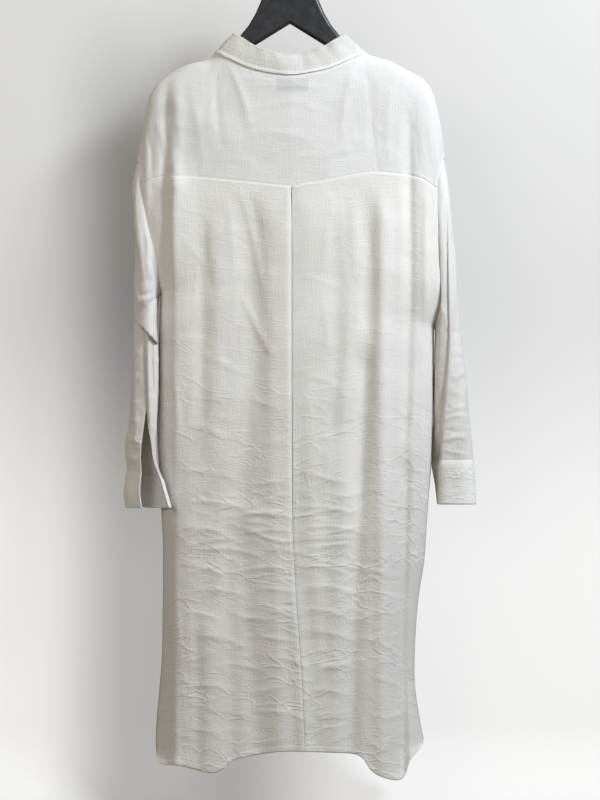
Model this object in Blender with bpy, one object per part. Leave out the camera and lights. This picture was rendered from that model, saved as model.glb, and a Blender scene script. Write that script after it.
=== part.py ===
"""Shirt dress on a flat hanger, held by the hook: cloth walls, buttons, hanger.

The wearer faces +Y, so the back faces -Y, and the wearer's right side is +X.
The origin is the inner top of the hook. Every size below is in millimetres.
"""

import math

import bpy
import numpy as np

MM = 0.001
WALL = 1.2  # cloth of body, yoke and sleeves
BAND = 2.0  # doubled cloth of collar and cuffs
LABEL = 1.0
INSET = 0.17  # each piece stops this short of its seam
LAYER = 3.0  # from one layer of the pleat to the next
OVERLAP = 14.0  # each front passes the centre by this much
UNDER = 2.8  # how far the left front lies under the right one
BUTTON = 11.0
BUTTON_THICK = 2.4
BOARD_THICK = 12.0
BOARD_CLEAR = 2.1  # from the cloth's middle to the board below it
WIRE = 4.6
HOOK = 18.0  # inner radius
VIEW_X, VIEW_Z, VIEW_FAR, VIEW_NEAR = 15.0, -705.0, 2600.0, 14.0
FRONT_BUTTONS = (-418, -508, -598, -688, -778, -868, -958, -1048)
OPEN_BUTTON_X, OPEN_BUTTON = -31.0, -334  # unfastened, near the left front's free edge

# z, half depth of the back, half depth of the front, radius of the side
DEPTH = (
    (-150, 30, 26, 8),
    (-240, 36, 31, 8),
    (-320, 42, 36, 8),
    (-390, 46, 40, 9),
    (-545, 52, 46, 14),
    (-700, 58, 50, 22),
    (-900, 62, 54, 28),
    (-1290, 66, 58, 28),
)

# x, z along the shoulder, from the side of the neck to the sleeve head
SHOULDER_LEFT = (
    (-112, -183), (-121, -194.5), (-148, -201), (-171, -211), (-192, -225),
    (-203, -237), (-210, -250), (-214, -264), (-222.5, -313.5), (-229.5, -349.5),
)
SHOULDER_RIGHT = (
    (112, -183), (119, -188), (152, -198), (174, -210), (194, -220.5),
    (203, -228), (211, -239), (218, -259), (227, -300), (232, -345),
)

# x, z of the armhole seam, from the sleeve head to the underarm
ARMHOLE_LEFT = (
    (-229.5, -349.5), (-225, -357), (-222.5, -387), (-213, -439.5),
    (-199.5, -492), (-193.5, -544.5),
)
ARMHOLE_RIGHT = (
    (232, -345), (223.5, -353), (220.5, -385), (221, -440), (222, -496),
    (225, -549), (216, -594),
)

# x, z that the body would reach at the armhole if it had no sleeve
BULGE_LEFT = (
    (-229.5, -349.5), (-235, -380), (-235, -420), (-228, -460), (-215, -503),
    (-193.5, -544.5),
)
BULGE_RIGHT = (
    (232, -345), (239, -390), (246, -440), (248, -495), (244, -545),
    (216, -594),
)

# x, z of the side seam, from the underarm to the hem
SIDE_LEFT = (
    (-193.5, -544.5), (-194, -600), (-194.5, -660), (-192, -760), (-189, -870),
    (-188, -930), (-190, -1030), (-192, -1095), (-196, -1145), (-200, -1190),
    (-201, -1222.5),
)
SIDE_RIGHT = (
    (216, -594), (215.5, -640), (214.5, -710), (212, -790), (208.5, -840),
    (205, -885), (201, -945), (192, -1005), (187.5, -1065), (186.5, -1125),
    (192, -1170), (200, -1214),
)

# x, z of the seam between yoke and back
YOKE_SEAM = (
    (-222.8, -383), (-200, -373), (-163.5, -370.5), (-75, -378), (1.5, -385.5),
    (19.5, -381.6), (55.5, -376.5), (91.5, -369), (123, -364.5), (150, -366),
    (175.5, -369), (200, -376), (220.5, -390),
)

# x, z of the hem of the back, and of the hem of each front
HEM_BACK = (
    (-201, -1222.5), (-193.5, -1246.5), (-163.5, -1251), (-127.5, -1260),
    (-112.5, -1261.5), (-99, -1255.5), (-85.5, -1243.5), (-57, -1236),
    (-15, -1230), (25.5, -1230), (67.5, -1231.5), (94.5, -1233),
    (109.5, -1240.5), (120, -1257), (133.5, -1266), (153, -1272),
    (166.5, -1270.5), (174, -1260), (178.5, -1243.5), (192, -1227), (200, -1214),
)
HEM_FRONT = (
    (-201, -1222.5), (-180, -1232), (-120, -1234), (-60, -1224), (0, -1218),
    (60, -1222), (120, -1232), (180, -1226), (200, -1214),
)

# x, z of the seam between yoke and front, then of the neck seam to its end
FRONT_TOP_LEFT = (
    (-224, -372), (-213, -318), (-203, -279), (-188, -253), (-165, -237),
    (-145, -228), (-125, -220), (-104, -208), (-94, -232), (-76, -258),
    (-50, -280),
)
FRONT_TOP_RIGHT = (
    (221.5, -370), (213, -306), (206, -272), (190, -249), (168, -235),
    (147, -225), (126, -217), (104, -208), (94, -232), (76, -258), (50, -280),
)
NECK_CORNER = 104.0
NECK_END = (50.0, -280.0)
OPEN_BOTTOM = -404.0  # the neck is open down to here

# x, z of the neck seam at the back, from side to side
NECK_BACK = (
    (-112, -183), (-103, -189), (-87, -196), (-67.5, -205), (-45, -212),
    (0, -218.5), (45, -212), (67.5, -205), (87, -196), (103, -189), (112, -183),
)

# share of the band from its end to the centre back, then the way up it
COLLAR_UP = (
    (0.00, 16, 4, 25),
    (0.28, 22, 2, 24),
    (0.40, 26, 0, 26),
    (0.50, 28, 0, 28.5),
    (0.62, 20, 7, 30),
    (0.78, 9, 11, 30.5),
    (1.00, 0, 13, 29),
)

# z, x of the pleat's line, half width of the folded part
PLEAT = (
    (-380, 2.0, 31),
    (-700, 2.5, 31),
    (-900, 4.0, 30),
    (-1000, 9.0, 27),
    (-1120, 18.0, 22),
    (-1290, 25.0, 17),
)

# z at the top and bottom, x at the top, middle and bottom, width, height
FOLDS_BACK = (
    (-300, -1300, -160, -158, -157, 9, 4.0),
    (-200, -560, -176, -182, -184, 8, -6.0),
    (-390, -900, -57, -44, -72, 14, -5.0),
    (-850, -1300, -72, -56, -40, 15, -5.0),
    (-390, -1300, -24, -22, -12, 15, 3.5),
    (-380, -640, 132, 138, 136, 14, -4.0),
    (-760, -1300, 143, 132, 124, 14, -9.0),
    (-380, -1300, 158, 162, 168, 10, 5.0),
    (-250, -800, 190, 192, 182, 8, -8.0),
    (-760, -1220, 180, 175, 175, 7, -7.0),
    (-360, -860, 206, 206, 200, 7, 4.0),
    (-1000, -1300, -115, -114, -112, 26, 6.0),
    (-1000, -1300, 150, 153, 156, 14, 5.0),
)
FOLDS_FRONT = (
    (-280, -640, -178, -172, -160, 12, -6.0),
    (-420, -1300, -140, -146, -138, 16, -7.0),
    (-400, -1300, -100, -96, -88, 18, 5.0),
    (-700, -1300, -62, -58, -64, 15, -5.0),
    (-300, -700, 176, 170, 158, 12, -6.0),
    (-420, -1300, 150, 144, 150, 15, -7.0),
    (-380, -1300, 104, 98, 104, 18, 5.0),
    (-760, -1300, 66, 62, 54, 15, -6.0),
)

# outer x, z, y and inner x, z, y of the sleeve, half depth, slit's two lips
SLEEVE_LEFT = (
    (-229.5, -349.5, 0, -193.5, -544.5, 0, 16, 0.42, 0.42),
    (-236.0, -385.0, -1, -197.5, -556, -1, 20, 0.42, 0.42),
    (-234.5, -428.0, -2, -200.5, -574, -3, 23, 0.42, 0.42),
    (-231.5, -478.0, -3, -202.0, -600, -6, 25, 0.42, 0.42),
    (-232.5, -535.0, -4, -203.0, -634, -10, 25, 0.42, 0.42),
    (-233.0, -592.0, -4, -204.0, -668, -15, 24, 0.42, 0.42),
    (-233.0, -645.0, -4, -206.0, -698, -20, 23, 0.42, 0.42),
    (-234.0, -700.0, -4, -207.0, -728, -25, 22, 0.42, 0.42),
    (-240.0, -752.0, -4, -204.0, -768, -31, 22, 0.52, 0.30),
    (-245.5, -775.0, -4, -198.0, -797, -36, 22, 0.57, 0.20),
    (-243.0, -812.0, -4, -190.5, -822, -41, 22, 0.60, 0.12),
    (-246.5, -842.0, -4, -184.5, -843, -45, 21, 0.62, 0.09),
    (-245.0, -866.0, -4, -177.5, -866, -48, 20, 0.64, 0.07),
)
SLEEVE_RIGHT = (
    (232.0, -345.0, 0, 216.0, -594, 0, 16, 0.42, 0.42),
    (239.5, -402.0, -1, 226.0, -600, 0, 22, 0.42, 0.42),
    (245.5, -462.0, -1, 226.5, -624, 0, 26, 0.42, 0.42),
    (251.0, -520.0, -1, 228.0, -648, 0, 29, 0.42, 0.42),
    (255.0, -575.0, -1, 228.0, -674, 0, 31, 0.42, 0.42),
    (261.5, -632.0, -2, 226.5, -702, 0, 31, 0.42, 0.42),
    (268.0, -692.0, -2, 224.5, -732, 0, 30, 0.42, 0.42),
    (274.0, -748.0, -3, 221.5, -766, 0, 29, 0.42, 0.42),
    (277.0, -796.5, -3, 218.0, -797, 0, 28, 0.42, 0.42),
    (279.0, -829.0, -3, 217.0, -829, 0, 28, 0.42, 0.42),
    (280.5, -861.0, -3, 216.5, -861, 0, 28, 0.42, 0.42),
)
SLEEVE_ROWS = 17
CUFF_ROWS = 3
SLIT_SHARE = 0.42  # where round the back of the sleeve the slit starts
SEAM_FADE = 4.0  # rows of the table over which the armhole's own shape fades

# x, z of the left half of the board's top, from the middle to the shoulder
BOARD_TOP = (
    (0, -63), (-11, -64), (-23, -69), (-33, -82), (-43, -105), (-51, -124),
    (-62, -143), (-75, -159), (-90, -175), (-103, -190),
)
BOARD_LOW = ((-196, -255), (-187, -259.5), (-51, -172.5), (0, -141))

LEFT_COLUMNS, RIGHT_COLUMNS, NECK_COLUMN = 14, 14, 7
FRONT_NECK_COLUMNS = 6
YOKE_BACK_ROWS, YOKE_FRONT_ROWS = 6, 3
UNDERARM_ROWS = {-1: 6, 1: 8}  # rows of the body down to each underarm
LOW_ROWS = 16  # rows from the lower underarm to the hem
FOLD_FADE = 60.0  # a fold dies away over this height at both ends
LABEL_BOX = (-19.5, 26.5, -228.0, -247.0)  # left, right, top, low


def smooth(points, steps=8):
    """Catmull-Rom curve through the points, with this many steps a span."""
    p = np.array(points, float)
    p = np.vstack([2 * p[0] - p[1], p, 2 * p[-1] - p[-2]])
    t = np.linspace(0, 1, steps, endpoint=False)[:, None]
    spans = []
    for a, b, c, d in zip(p[:-3], p[1:-2], p[2:-1], p[3:]):
        spans.append(
            b
            + 0.5 * t * (c - a)
            + t**2 * (a - 2.5 * b + 2 * c - 0.5 * d)
            + t**3 * (1.5 * (b - c) + 0.5 * (d - a))
        )
    return np.vstack([*spans, p[-2:-1]])


def at_z(curve, z):
    """x of a curve that runs downward, at heights z."""
    return np.interp(-z, -curve[:, 1], curve[:, 0])


def at_x(curve, x):
    """z of a curve that runs across, at places x."""
    rising = curve[np.argsort(curve[:, 0])]
    return np.interp(x, rising[:, 0], rising[:, 1])


def along(curve, shares):
    """Points of a curve at shares of its length."""
    run = np.r_[0, np.cumsum(np.linalg.norm(np.diff(curve, axis=0), axis=1))]
    where = np.asarray(shares) * run[-1]
    return np.column_stack([np.interp(where, run, c) for c in curve.T])


def eased(t):
    t = np.clip(t, 0, 1)
    return t * t * (3 - 2 * t)


SHOULDERS = {-1: smooth(SHOULDER_LEFT), 1: smooth(SHOULDER_RIGHT)}
ARMHOLES = {-1: smooth(ARMHOLE_LEFT), 1: smooth(ARMHOLE_RIGHT)}
BULGES = {-1: smooth(BULGE_LEFT), 1: smooth(BULGE_RIGHT)}
SIDES = {-1: smooth(SIDE_LEFT), 1: smooth(SIDE_RIGHT)}
EDGES = {side: np.vstack([ARMHOLES[side], SIDES[side][1:]]) for side in (-1, 1)}
YOKE_LINE = smooth(YOKE_SEAM)
HEM_LINE = smooth(HEM_BACK, 4)
HEM_FRONT_LINE = smooth(HEM_FRONT)
FRONT_TOPS = {-1: np.array(FRONT_TOP_LEFT, float), 1: np.array(FRONT_TOP_RIGHT, float)}
NECK = smooth(NECK_BACK)
OUTLINES = [
    np.vstack([SHOULDERS[side], BULGES[side][1:], SIDES[side][1:]]) for side in (-1, 1)
]


def from_edge(x, z):
    """Distance from (x, z) to the nearest line of the body's outline."""
    p = np.stack([x, z], -1)[..., None, :]
    nearest = np.full(x.shape, np.inf)
    for line in OUTLINES:
        a, d = line[:-1], np.diff(line, axis=0)
        t = np.clip(((p - a) * d).sum(-1) / (d**2).sum(-1), 0, 1)
        gap = np.linalg.norm(p - a - t[..., None] * d, axis=-1).min(-1)
        nearest = np.minimum(nearest, gap)
    return nearest


def folds(table, x, z):
    """Height of the folds of a table, each a soft ridge or trough."""
    total = np.zeros_like(x)
    for top, bottom, x0, x1, x2, width, height in table:
        middle = (top + bottom) / 2
        line = np.interp(-z, (-top, -middle, -bottom), (x0, x1, x2))
        fade = eased((top - z) / FOLD_FADE) * eased((z - bottom) / FOLD_FADE)
        total += height * fade * np.exp(-(((x - line) / width) ** 2))
    return total


def depth(x, z, front):
    """How far the cloth stands from the plane of the hanger at (x, z)."""
    levels = np.array(DEPTH, float)
    reach = np.interp(-z, -levels[:, 0], levels[:, 2 if front else 1])
    radius = np.interp(-z, -levels[:, 0], levels[:, 3])
    edge = from_edge(x, z)
    round_off = np.sqrt(1 - np.exp(-2 * radius * edge / reach**2))
    table = FOLDS_FRONT if front else FOLDS_BACK
    return reach * round_off + folds(table, x, z) * (1 - np.exp(-edge / 14))


def on_body(x, z, front=False):
    """Points of the body at (x, z), on the front or on the back."""
    y = depth(x, z, front) * (1 if front else -1)
    return np.stack([x, y, z], -1)


def drawn_in(p):
    """Moves what stands nearer the viewer to where it is seen in the photo."""
    near = 1 + np.minimum(0, p[..., 1] + VIEW_NEAR) / VIEW_FAR
    x = VIEW_X + (p[..., 0] - VIEW_X) * near
    z = VIEW_Z + (p[..., 2] - VIEW_Z) * near
    return np.stack([x, p[..., 1], z], -1)


def crowd(count, share=0.6):
    """0 to 1 in steps that are shorter at first."""
    t = np.linspace(0, 1, count + 1)
    return share * (1 - np.cos(t * np.pi / 2)) + (1 - share) * t


class Sheet:
    """A grid of points with some of its cells, and columns that may join."""

    def __init__(self, name, points, thick, material, cells=None, joined=None):
        self.name, self.thick, self.material = name, thick, material
        rows, columns = points.shape[:2]
        index = np.arange(rows * columns).reshape(rows, columns)
        if joined is not None:
            index[:joined, -1] = index[:joined, 0]
        keep = np.ones((rows - 1, columns - 1), bool) if cells is None else cells
        self.faces = np.stack(
            [index[:-1, :-1], index[1:, :-1], index[1:, 1:], index[:-1, 1:]], -1
        )[keep]
        used, self.faces = np.unique(self.faces, return_inverse=True)
        self.faces = self.faces.reshape(-1, 4)
        self.points = drawn_in(points.reshape(-1, 3)[used])
        p = self.points[self.faces]
        across = np.cross(p[:, 2] - p[:, 0], p[:, 3] - p[:, 1])
        self.normals = np.zeros_like(self.points)
        for corner in range(4):
            np.add.at(self.normals, self.faces[:, corner], across)
        self.normals /= np.linalg.norm(self.normals, axis=1)[:, None]
        ends = np.stack([self.faces, np.roll(self.faces, -1, axis=1)], -1).reshape(-1, 2)
        _, place, uses = np.unique(
            np.sort(ends, axis=1), axis=0, return_inverse=True, return_counts=True
        )
        self.rim = ends[uses[place.reshape(-1)] == 1]
        self.edge = np.unique(self.rim)

    def pull_back(self):
        """Moves the rim into the piece, square to the rim and along the cloth."""
        step = self.points[self.rim[:, 1]] - self.points[self.rim[:, 0]]
        step /= np.linalg.norm(step, axis=1)[:, None]
        inward = np.zeros_like(self.points)
        for end in range(2):
            at = self.rim[:, end]
            np.add.at(inward, at, np.cross(self.normals[at], step))
        inward = inward[self.edge]
        size = np.linalg.norm(inward, axis=1)[:, None]
        self.points[self.edge] += INSET * inward / np.maximum(size, 0.4)

    def build(self):
        """Makes the closed wall, half its thickness to each side of the points."""
        half = self.thick / 2 * self.normals
        count = len(self.points)
        verts = np.vstack([self.points + half, self.points - half]) * MM
        a, b = self.rim.T
        rim = np.stack([b, a, a + count, b + count], -1)
        faces = np.vstack([self.faces, self.faces[:, ::-1] + count, rim])
        add_mesh(self.name, verts, faces.tolist(), self.material)


def share_normals(sheets):
    """Gives pieces that meet at a seam the same direction across the cloth."""
    meeting = {}
    for sheet in sheets:
        for vertex in sheet.edge:
            key = tuple(np.round(sheet.points[vertex], 2))
            meeting.setdefault(key, []).append((sheet, vertex))
    for found in meeting.values():
        mean = np.mean([sheet.normals[vertex] for sheet, vertex in found], axis=0)
        if np.linalg.norm(mean) < 0.75:
            mean = np.array([0.0, 0.0, -1.0])
        for sheet, vertex in found:
            sheet.normals[vertex] = mean / np.linalg.norm(mean)


def signed_volume(verts, faces):
    """Six times the volume, below zero where the faces point inwards."""
    return sum(
        float(np.dot(verts[face[0]], np.cross(verts[a], verts[b])))
        for face in faces
        for a, b in zip(face[1:], face[2:])
    )


def add_mesh(name, verts, faces, material):
    if signed_volume(verts, faces) < 0:
        faces = [face[::-1] for face in faces]
    mesh = bpy.data.meshes.new(name)
    mesh.from_pydata([tuple(v) for v in verts], [], faces)
    mesh.materials.append(material)
    mesh.polygons.foreach_set("use_smooth", [True] * len(mesh.polygons))
    mesh.validate()
    thing = bpy.data.objects.new(name, mesh)
    bpy.context.scene.collection.objects.link(thing)


def material(name, color, roughness, metallic=0.0):
    made = bpy.data.materials.new(name)
    made.use_nodes = True
    shader = made.node_tree.nodes["Principled BSDF"]
    shader.inputs["Base Color"].default_value = (*color, 1.0)
    shader.inputs["Roughness"].default_value = roughness
    shader.inputs["Metallic"].default_value = metallic
    return made


def body_rows():
    """Shares down the back of its rows, with a row at each underarm."""
    under = []
    for side in (-1, 1):
        x, z = ARMHOLES[side][-1]
        top, low = at_x(YOKE_LINE, x), at_x(HEM_LINE, x)
        under.append((z - top) / (low - top))
    return np.r_[
        np.linspace(0, under[0], UNDERARM_ROWS[-1] + 1)[:-1],
        np.linspace(under[0], under[1], UNDERARM_ROWS[1] - UNDERARM_ROWS[-1] + 1)[:-1],
        np.linspace(under[1], 1, LOW_ROWS + 1),
    ]


def settle(first, last, top, low, shares, rows):
    """Grid of x and z between two upright curves and two curves across."""
    z = np.repeat(-400 - 850 * rows[:, None], len(shares), axis=1)
    for _ in range(30):
        x = first(z) + (last(z) - first(z)) * shares
        z = top(x) + (low(x) - top(x)) * rows[:, None]
    return x, z


def pleat_path():
    """Across the folded part: place in half widths, step in mm and layer of each point."""
    turn = np.linspace(0, np.pi, 5)
    path = []
    for u in (-0.66, -0.33):
        path.append((u, 0, 0))
    for a in turn:
        path.append((0, -1.9 + math.sin(a) * 1.5, (1 - math.cos(a)) / 2))
    path.append((-0.5, 0, 1))
    for a in turn:
        path.append((-1, -math.sin(a) * 1.5, 1 + (1 - math.cos(a)) / 2))
    for u in (-0.5, 0, 0.5):
        path.append((u, 0, 2))
    for a in turn:
        path.append((1, math.sin(a) * 1.5, 2 - (1 - math.cos(a)) / 2))
    path.append((0.5, 0, 1))
    for a in turn:
        path.append((0, 1.9 - math.sin(a) * 1.5, 1 - (1 - math.cos(a)) / 2))
    for u in (0.33, 0.66):
        path.append((u, 0, 0))
    return np.array(path)


def pleat_line(z):
    """x of the pleat's line and half the width of its folded part, at heights z."""
    table = np.array(PLEAT, float)
    return [np.interp(-z, -table[:, 0], table[:, column]) for column in (1, 2)]


def back_grid():
    """Points of the back, from the left edge through the pleat to the right."""
    rows = body_rows()
    halves = []
    for side, count in ((-1, LEFT_COLUMNS), (1, RIGHT_COLUMNS)):
        shares = crowd(count)
        x, z = settle(
            lambda at, side=side: at_z(EDGES[side], at),
            lambda at, side=side: pleat_line(at)[0] + side * pleat_line(at)[1],
            lambda at: at_x(YOKE_LINE, at),
            lambda at: at_x(HEM_LINE, at),
            shares,
            rows,
        )
        halves.append(on_body(x, z))
    path = pleat_path()
    x, z = settle(
        lambda at: pleat_line(at)[0],
        lambda at: pleat_line(at)[0] + pleat_line(at)[1],
        lambda at: at_x(YOKE_LINE, at),
        lambda at: at_x(HEM_LINE, at),
        path[:, 0],
        rows,
    )
    x = x + path[:, 1]
    middle = on_body(x, z)
    middle[..., 1] += LAYER * path[:, 2]
    ends = np.stack([halves[0][0, -1], halves[1][0, -1]])
    seam = np.array([ends[0, 0], PLEAT[0][1], ends[1, 0]])
    heights = np.array([ends[0, 2], at_x(YOKE_LINE, PLEAT[0][1]), ends[1, 2]])
    middle[0, :, 2] = np.interp(middle[0, :, 0], seam, heights) - 0.3
    return np.concatenate([halves[0], middle, halves[1][:, ::-1]], axis=1)


def under_right(x):
    """How far the left front steps in to lie under the right one."""
    return UNDER * eased((x + 44) / 24)


def front_grid(side, back_edge):
    """Points of one front, from its edge at the side to its free edge."""
    top_curve, edge = FRONT_TOPS[side], EDGES[side]
    under = UNDERARM_ROWS[side]
    x, z = back_edge[:, 0], back_edge[:, 2]
    top, low = at_x(top_curve, x), at_x(HEM_FRONT_LINE, x)
    rows = ((z - top) / (low - top))[under:]
    rows = np.r_[np.linspace(0, rows[0], under + 1)[:-1], rows]
    span = NECK_END[0] - abs(top_curve[0, 0])
    corner = (NECK_CORNER - abs(top_curve[0, 0])) / span
    shares = np.r_[
        crowd(NECK_COLUMN, 0.4) * corner,
        np.linspace(corner, 1, FRONT_NECK_COLUMNS + 1)[1:],
    ]
    free = np.array(
        [
            (side * NECK_END[0], NECK_END[1]),
            (side * 22.0, -334.0),
            (-side * 8.0, -380.0),
            (-side * OVERLAP, OPEN_BOTTOM),
            (-side * OVERLAP, -1300.0),
        ]
    )
    x, z = settle(
        lambda at: at_z(edge, np.minimum(at, top_curve[0, 1])),
        lambda at: at_z(free, at),
        lambda at: at_x(top_curve, at),
        lambda at: at_x(HEM_FRONT_LINE, at),
        shares,
        rows,
    )
    points = on_body(x, z, front=True)
    if side < 0:
        points[..., 1] -= under_right(x)
    return points


def yoke_grid(back, fronts):
    """Points of the yoke and which of its cells are cloth."""
    left, right = LEFT_COLUMNS, RIGHT_COLUMNS
    top = back[0]
    inner = np.array([PLEAT[0][1], at_x(YOKE_LINE, PLEAT[0][1])])
    base = np.vstack(
        [top[: left + 1][:, [0, 2]], inner, top[::-1][: right + 1][::-1][:, [0, 2]]]
    )
    count = len(base)
    crest = np.zeros((count, 2))
    crest[: NECK_COLUMN + 1] = along(SHOULDERS[-1][::-1], crowd(NECK_COLUMN, 0.2))
    crest[-NECK_COLUMN - 1 :] = along(SHOULDERS[1][::-1], crowd(NECK_COLUMN, 0.2))[::-1]
    crest[NECK_COLUMN:-NECK_COLUMN] = along(NECK, np.linspace(0, 1, count - 2 * NECK_COLUMN))
    shares = np.linspace(1, 0, YOKE_BACK_ROWS + 1)[:, None, None]
    column = np.arange(count)
    over = np.minimum(column, count - 1 - column) <= NECK_COLUMN
    power = np.where(over, 2.0, 1.15)[:, None]
    flat = crest + (base - crest) * shares**power
    for column, side in ((0, -1), (count - 1, 1)):
        z = crest[column, 1] + (base[column, 1] - crest[column, 1]) * shares[:, 0, 0] ** 2
        flat[:, column] = np.column_stack([at_z(ARMHOLES[side], z), z])
    points = on_body(flat[..., 0], flat[..., 1])
    steps = (np.arange(1, YOKE_FRONT_ROWS + 1) / YOKE_FRONT_ROWS)[:, None, None]
    seam = crest.copy()
    seam[: NECK_COLUMN + 1] = fronts[-1][0, : NECK_COLUMN + 1][:, [0, 2]]
    seam[-NECK_COLUMN - 1 :] = fronts[1][0, : NECK_COLUMN + 1][::-1][:, [0, 2]]
    flat = crest + (seam - crest) * steps**1.6
    for column, side in ((0, -1), (count - 1, 1)):
        flat[:, column, 0] = at_z(ARMHOLES[side], flat[:, column, 1])
    points = np.concatenate([points, on_body(flat[..., 0], flat[..., 1], front=True)])
    cells = np.ones((len(points) - 1, count - 1), bool)
    cells[YOKE_BACK_ROWS:, NECK_COLUMN : count - 1 - NECK_COLUMN] = False
    return points, cells


def sleeve_grid(table, loop, turn):
    """Points of a sleeve and its cuff from the loop of the armhole seam."""
    rows = np.array(table, float)
    seam_row = len(rows) - 3
    t = np.r_[
        np.linspace(0, seam_row, SLEEVE_ROWS + 1),
        np.linspace(seam_row, len(rows) - 1, CUFF_ROWS + 1)[1:],
    ]
    fine = smooth(rows, 16)
    level = np.array([np.interp(t * 16, np.arange(len(fine)), c) for c in fine.T]).T
    outer, inner = level[:, None, :3], level[:, None, 3:6]
    reach, lip_out, lip_in = (level[:, None, 6], level[:, None, 7], level[:, None, 8])
    run = np.r_[0, np.cumsum(np.linalg.norm(np.diff(loop, axis=0), axis=1))]
    front = np.arange(len(loop)) > turn
    share = np.where(front, (run[-1] - run) / (run[-1] - run[turn]), run / run[turn])
    share = (1 - np.cos(np.pi * np.clip(share, 0, 1))) / 2
    slit = int(np.argmin(np.abs(np.where(front, 9, share) - SLIT_SHARE)))
    order = np.r_[slit:len(loop) - 1, 0 : slit + 1]
    last = np.arange(len(order)) >= len(loop) - 1 - slit
    f = share[order]
    parted = np.where(
        last, f * lip_in / share[slit], 1 - (1 - f) * (1 - lip_out) / (1 - share[slit])
    )
    opened = np.abs(lip_out - lip_in)
    across = np.where(front[order], f, f + (parted - f) * eased(opened / 0.02))
    bow = np.maximum(0, 1 - (2 * across - 1) ** 2) ** 0.4
    points = np.empty((len(t), len(order), 3))
    points[..., 0] = inner[..., 0] + (outer[..., 0] - inner[..., 0]) * across
    points[..., 2] = inner[..., 1] + (outer[..., 1] - inner[..., 1]) * across
    lean = inner[..., 2] + (outer[..., 2] - inner[..., 2]) * across
    points[..., 1] = lean + reach * bow * np.where(front[order], 1, -1)
    fade = 1 - eased(t / SEAM_FADE)[:, None, None]
    points += (loop[order] - points[0]) * fade
    split = opened[:, 0] > 0.004
    joined = int(np.argmax(split)) if split.any() else len(t)
    return points, joined


def collar_grid(base):
    """Rows of the collar band from its seam, base, to its top."""
    run = np.r_[0, np.cumsum(np.linalg.norm(np.diff(base, axis=0), axis=1))]
    share = run / run[-1] * 2
    side = np.where(share > 1, -1, 1)
    share = np.where(share > 1, 2 - share, share)
    table = np.array(COLLAR_UP, float)
    up = np.column_stack([np.interp(share, table[:, 0], c) for c in table[:, 1:].T])
    up[:, 0] *= side
    steps = np.array([0, 0.35, 0.7, 1.0])[:, None, None]
    return base + up * steps


def disc(name, centre, facing, material_used):
    """A button: a round plate with an eased rim, facing one way."""
    facing = np.asarray(facing, float)
    facing /= np.linalg.norm(facing)
    side = np.cross(facing, (0.0, 0.0, 1.0))
    side /= np.linalg.norm(side)
    up = np.cross(side, facing)
    sides = 12
    angle = np.arange(sides) * 2 * np.pi / sides
    round_way = np.outer(np.cos(angle), side) + np.outer(np.sin(angle), up)
    profile = ((0.85, 0.0), (1.0, 0.3), (1.0, 0.75), (0.82, 1.0))
    rings = [
        centre + facing * BUTTON_THICK * level + round_way * BUTTON / 2 * size
        for size, level in profile
    ]
    verts = np.vstack(rings) * MM
    faces = []
    for ring in range(len(profile) - 1):
        for k in range(sides):
            a, b = ring * sides + k, ring * sides + (k + 1) % sides
            faces.append((a, b, b + sides, a + sides))
    faces.append(tuple(range(sides))[::-1])
    faces.append(tuple(range((len(profile) - 1) * sides, len(profile) * sides)))
    add_mesh(name, verts, faces, material_used)


def board(ridges):
    """The hanger's board: its outline from the shoulders' crests, with eased edges."""
    halves = []
    for side in (-1, 1):
        crest = ridges[side]
        crest = crest[(np.abs(crest[:, 0]) < 204) & (np.abs(crest[:, 0]) > 126)]
        step = np.gradient(crest, axis=0)
        step /= np.linalg.norm(step, axis=1)[:, None]
        inward = np.column_stack([step[:, 1], -step[:, 0]]) * side
        inward *= np.where(inward[:, 1:] > 0, -1, 1)
        crest = (crest + inward * BOARD_CLEAR) * (-side, 1)
        crest = crest[np.argsort(-crest[:, 0])]
        halves.append(np.vstack([BOARD_TOP, crest, BOARD_LOW]))
    outline = np.vstack([halves[0], halves[1][1:-1][::-1] * (-1, 1)])
    step = np.roll(outline, -1, axis=0) - np.roll(outline, 1, axis=0)
    step /= np.linalg.norm(step, axis=1)[:, None]
    inward = np.column_stack([-step[:, 1], step[:, 0]])
    half = BOARD_THICK / 2
    layers = (
        (-1.0, 4.6), (-0.78, 2.25), (-0.42, 0.55), (0.0, 0.0),
        (0.42, 0.55), (0.78, 2.25), (1.0, 4.6),
    )
    verts = []
    for level, inset in layers:
        ring = outline + inward * inset
        verts.append(np.column_stack([ring[:, 0], np.full(len(ring), level * half), ring[:, 1]]))
    count = len(outline)
    faces = []
    for layer in range(len(layers) - 1):
        for k in range(count):
            a, b = layer * count + k, layer * count + (k + 1) % count
            faces.append((a, a + count, b + count, b))
    faces.append(tuple(range(count)))
    faces.append(tuple(range((len(layers) - 1) * count, len(layers) * count))[::-1])
    return np.vstack(verts), faces


def hook():
    """The hanger's wire hook, swept along its bend, and its stem."""
    bend = HOOK + WIRE / 2
    turn = np.linspace(-0.18 * np.pi, 1.12 * np.pi, 17)
    arc = np.column_stack([bend * np.cos(turn), bend * np.sin(turn) - HOOK])
    stem = np.array([(0, -62.7), (0, -54), (3.5, -45)])
    path = np.vstack([stem, arc])
    step = np.gradient(path, axis=0)
    step /= np.linalg.norm(step, axis=1)[:, None]
    sides = 10
    angle = np.arange(sides) * 2 * np.pi / sides
    verts = []
    for (x, z), (dx, dz) in zip(path, step):
        out = np.cos(angle) * WIRE / 2
        verts.append(np.column_stack([x - dz * out, np.sin(angle) * WIRE / 2, z + dx * out]))
    faces = []
    for ring in range(len(path) - 1):
        for k in range(sides):
            a, b = ring * sides + k, ring * sides + (k + 1) % sides
            faces.append((a, b, b + sides, a + sides))
    faces.append(tuple(range(sides))[::-1])
    faces.append(tuple(range((len(path) - 1) * sides, len(path) * sides)))
    return np.vstack(verts), faces


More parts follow.
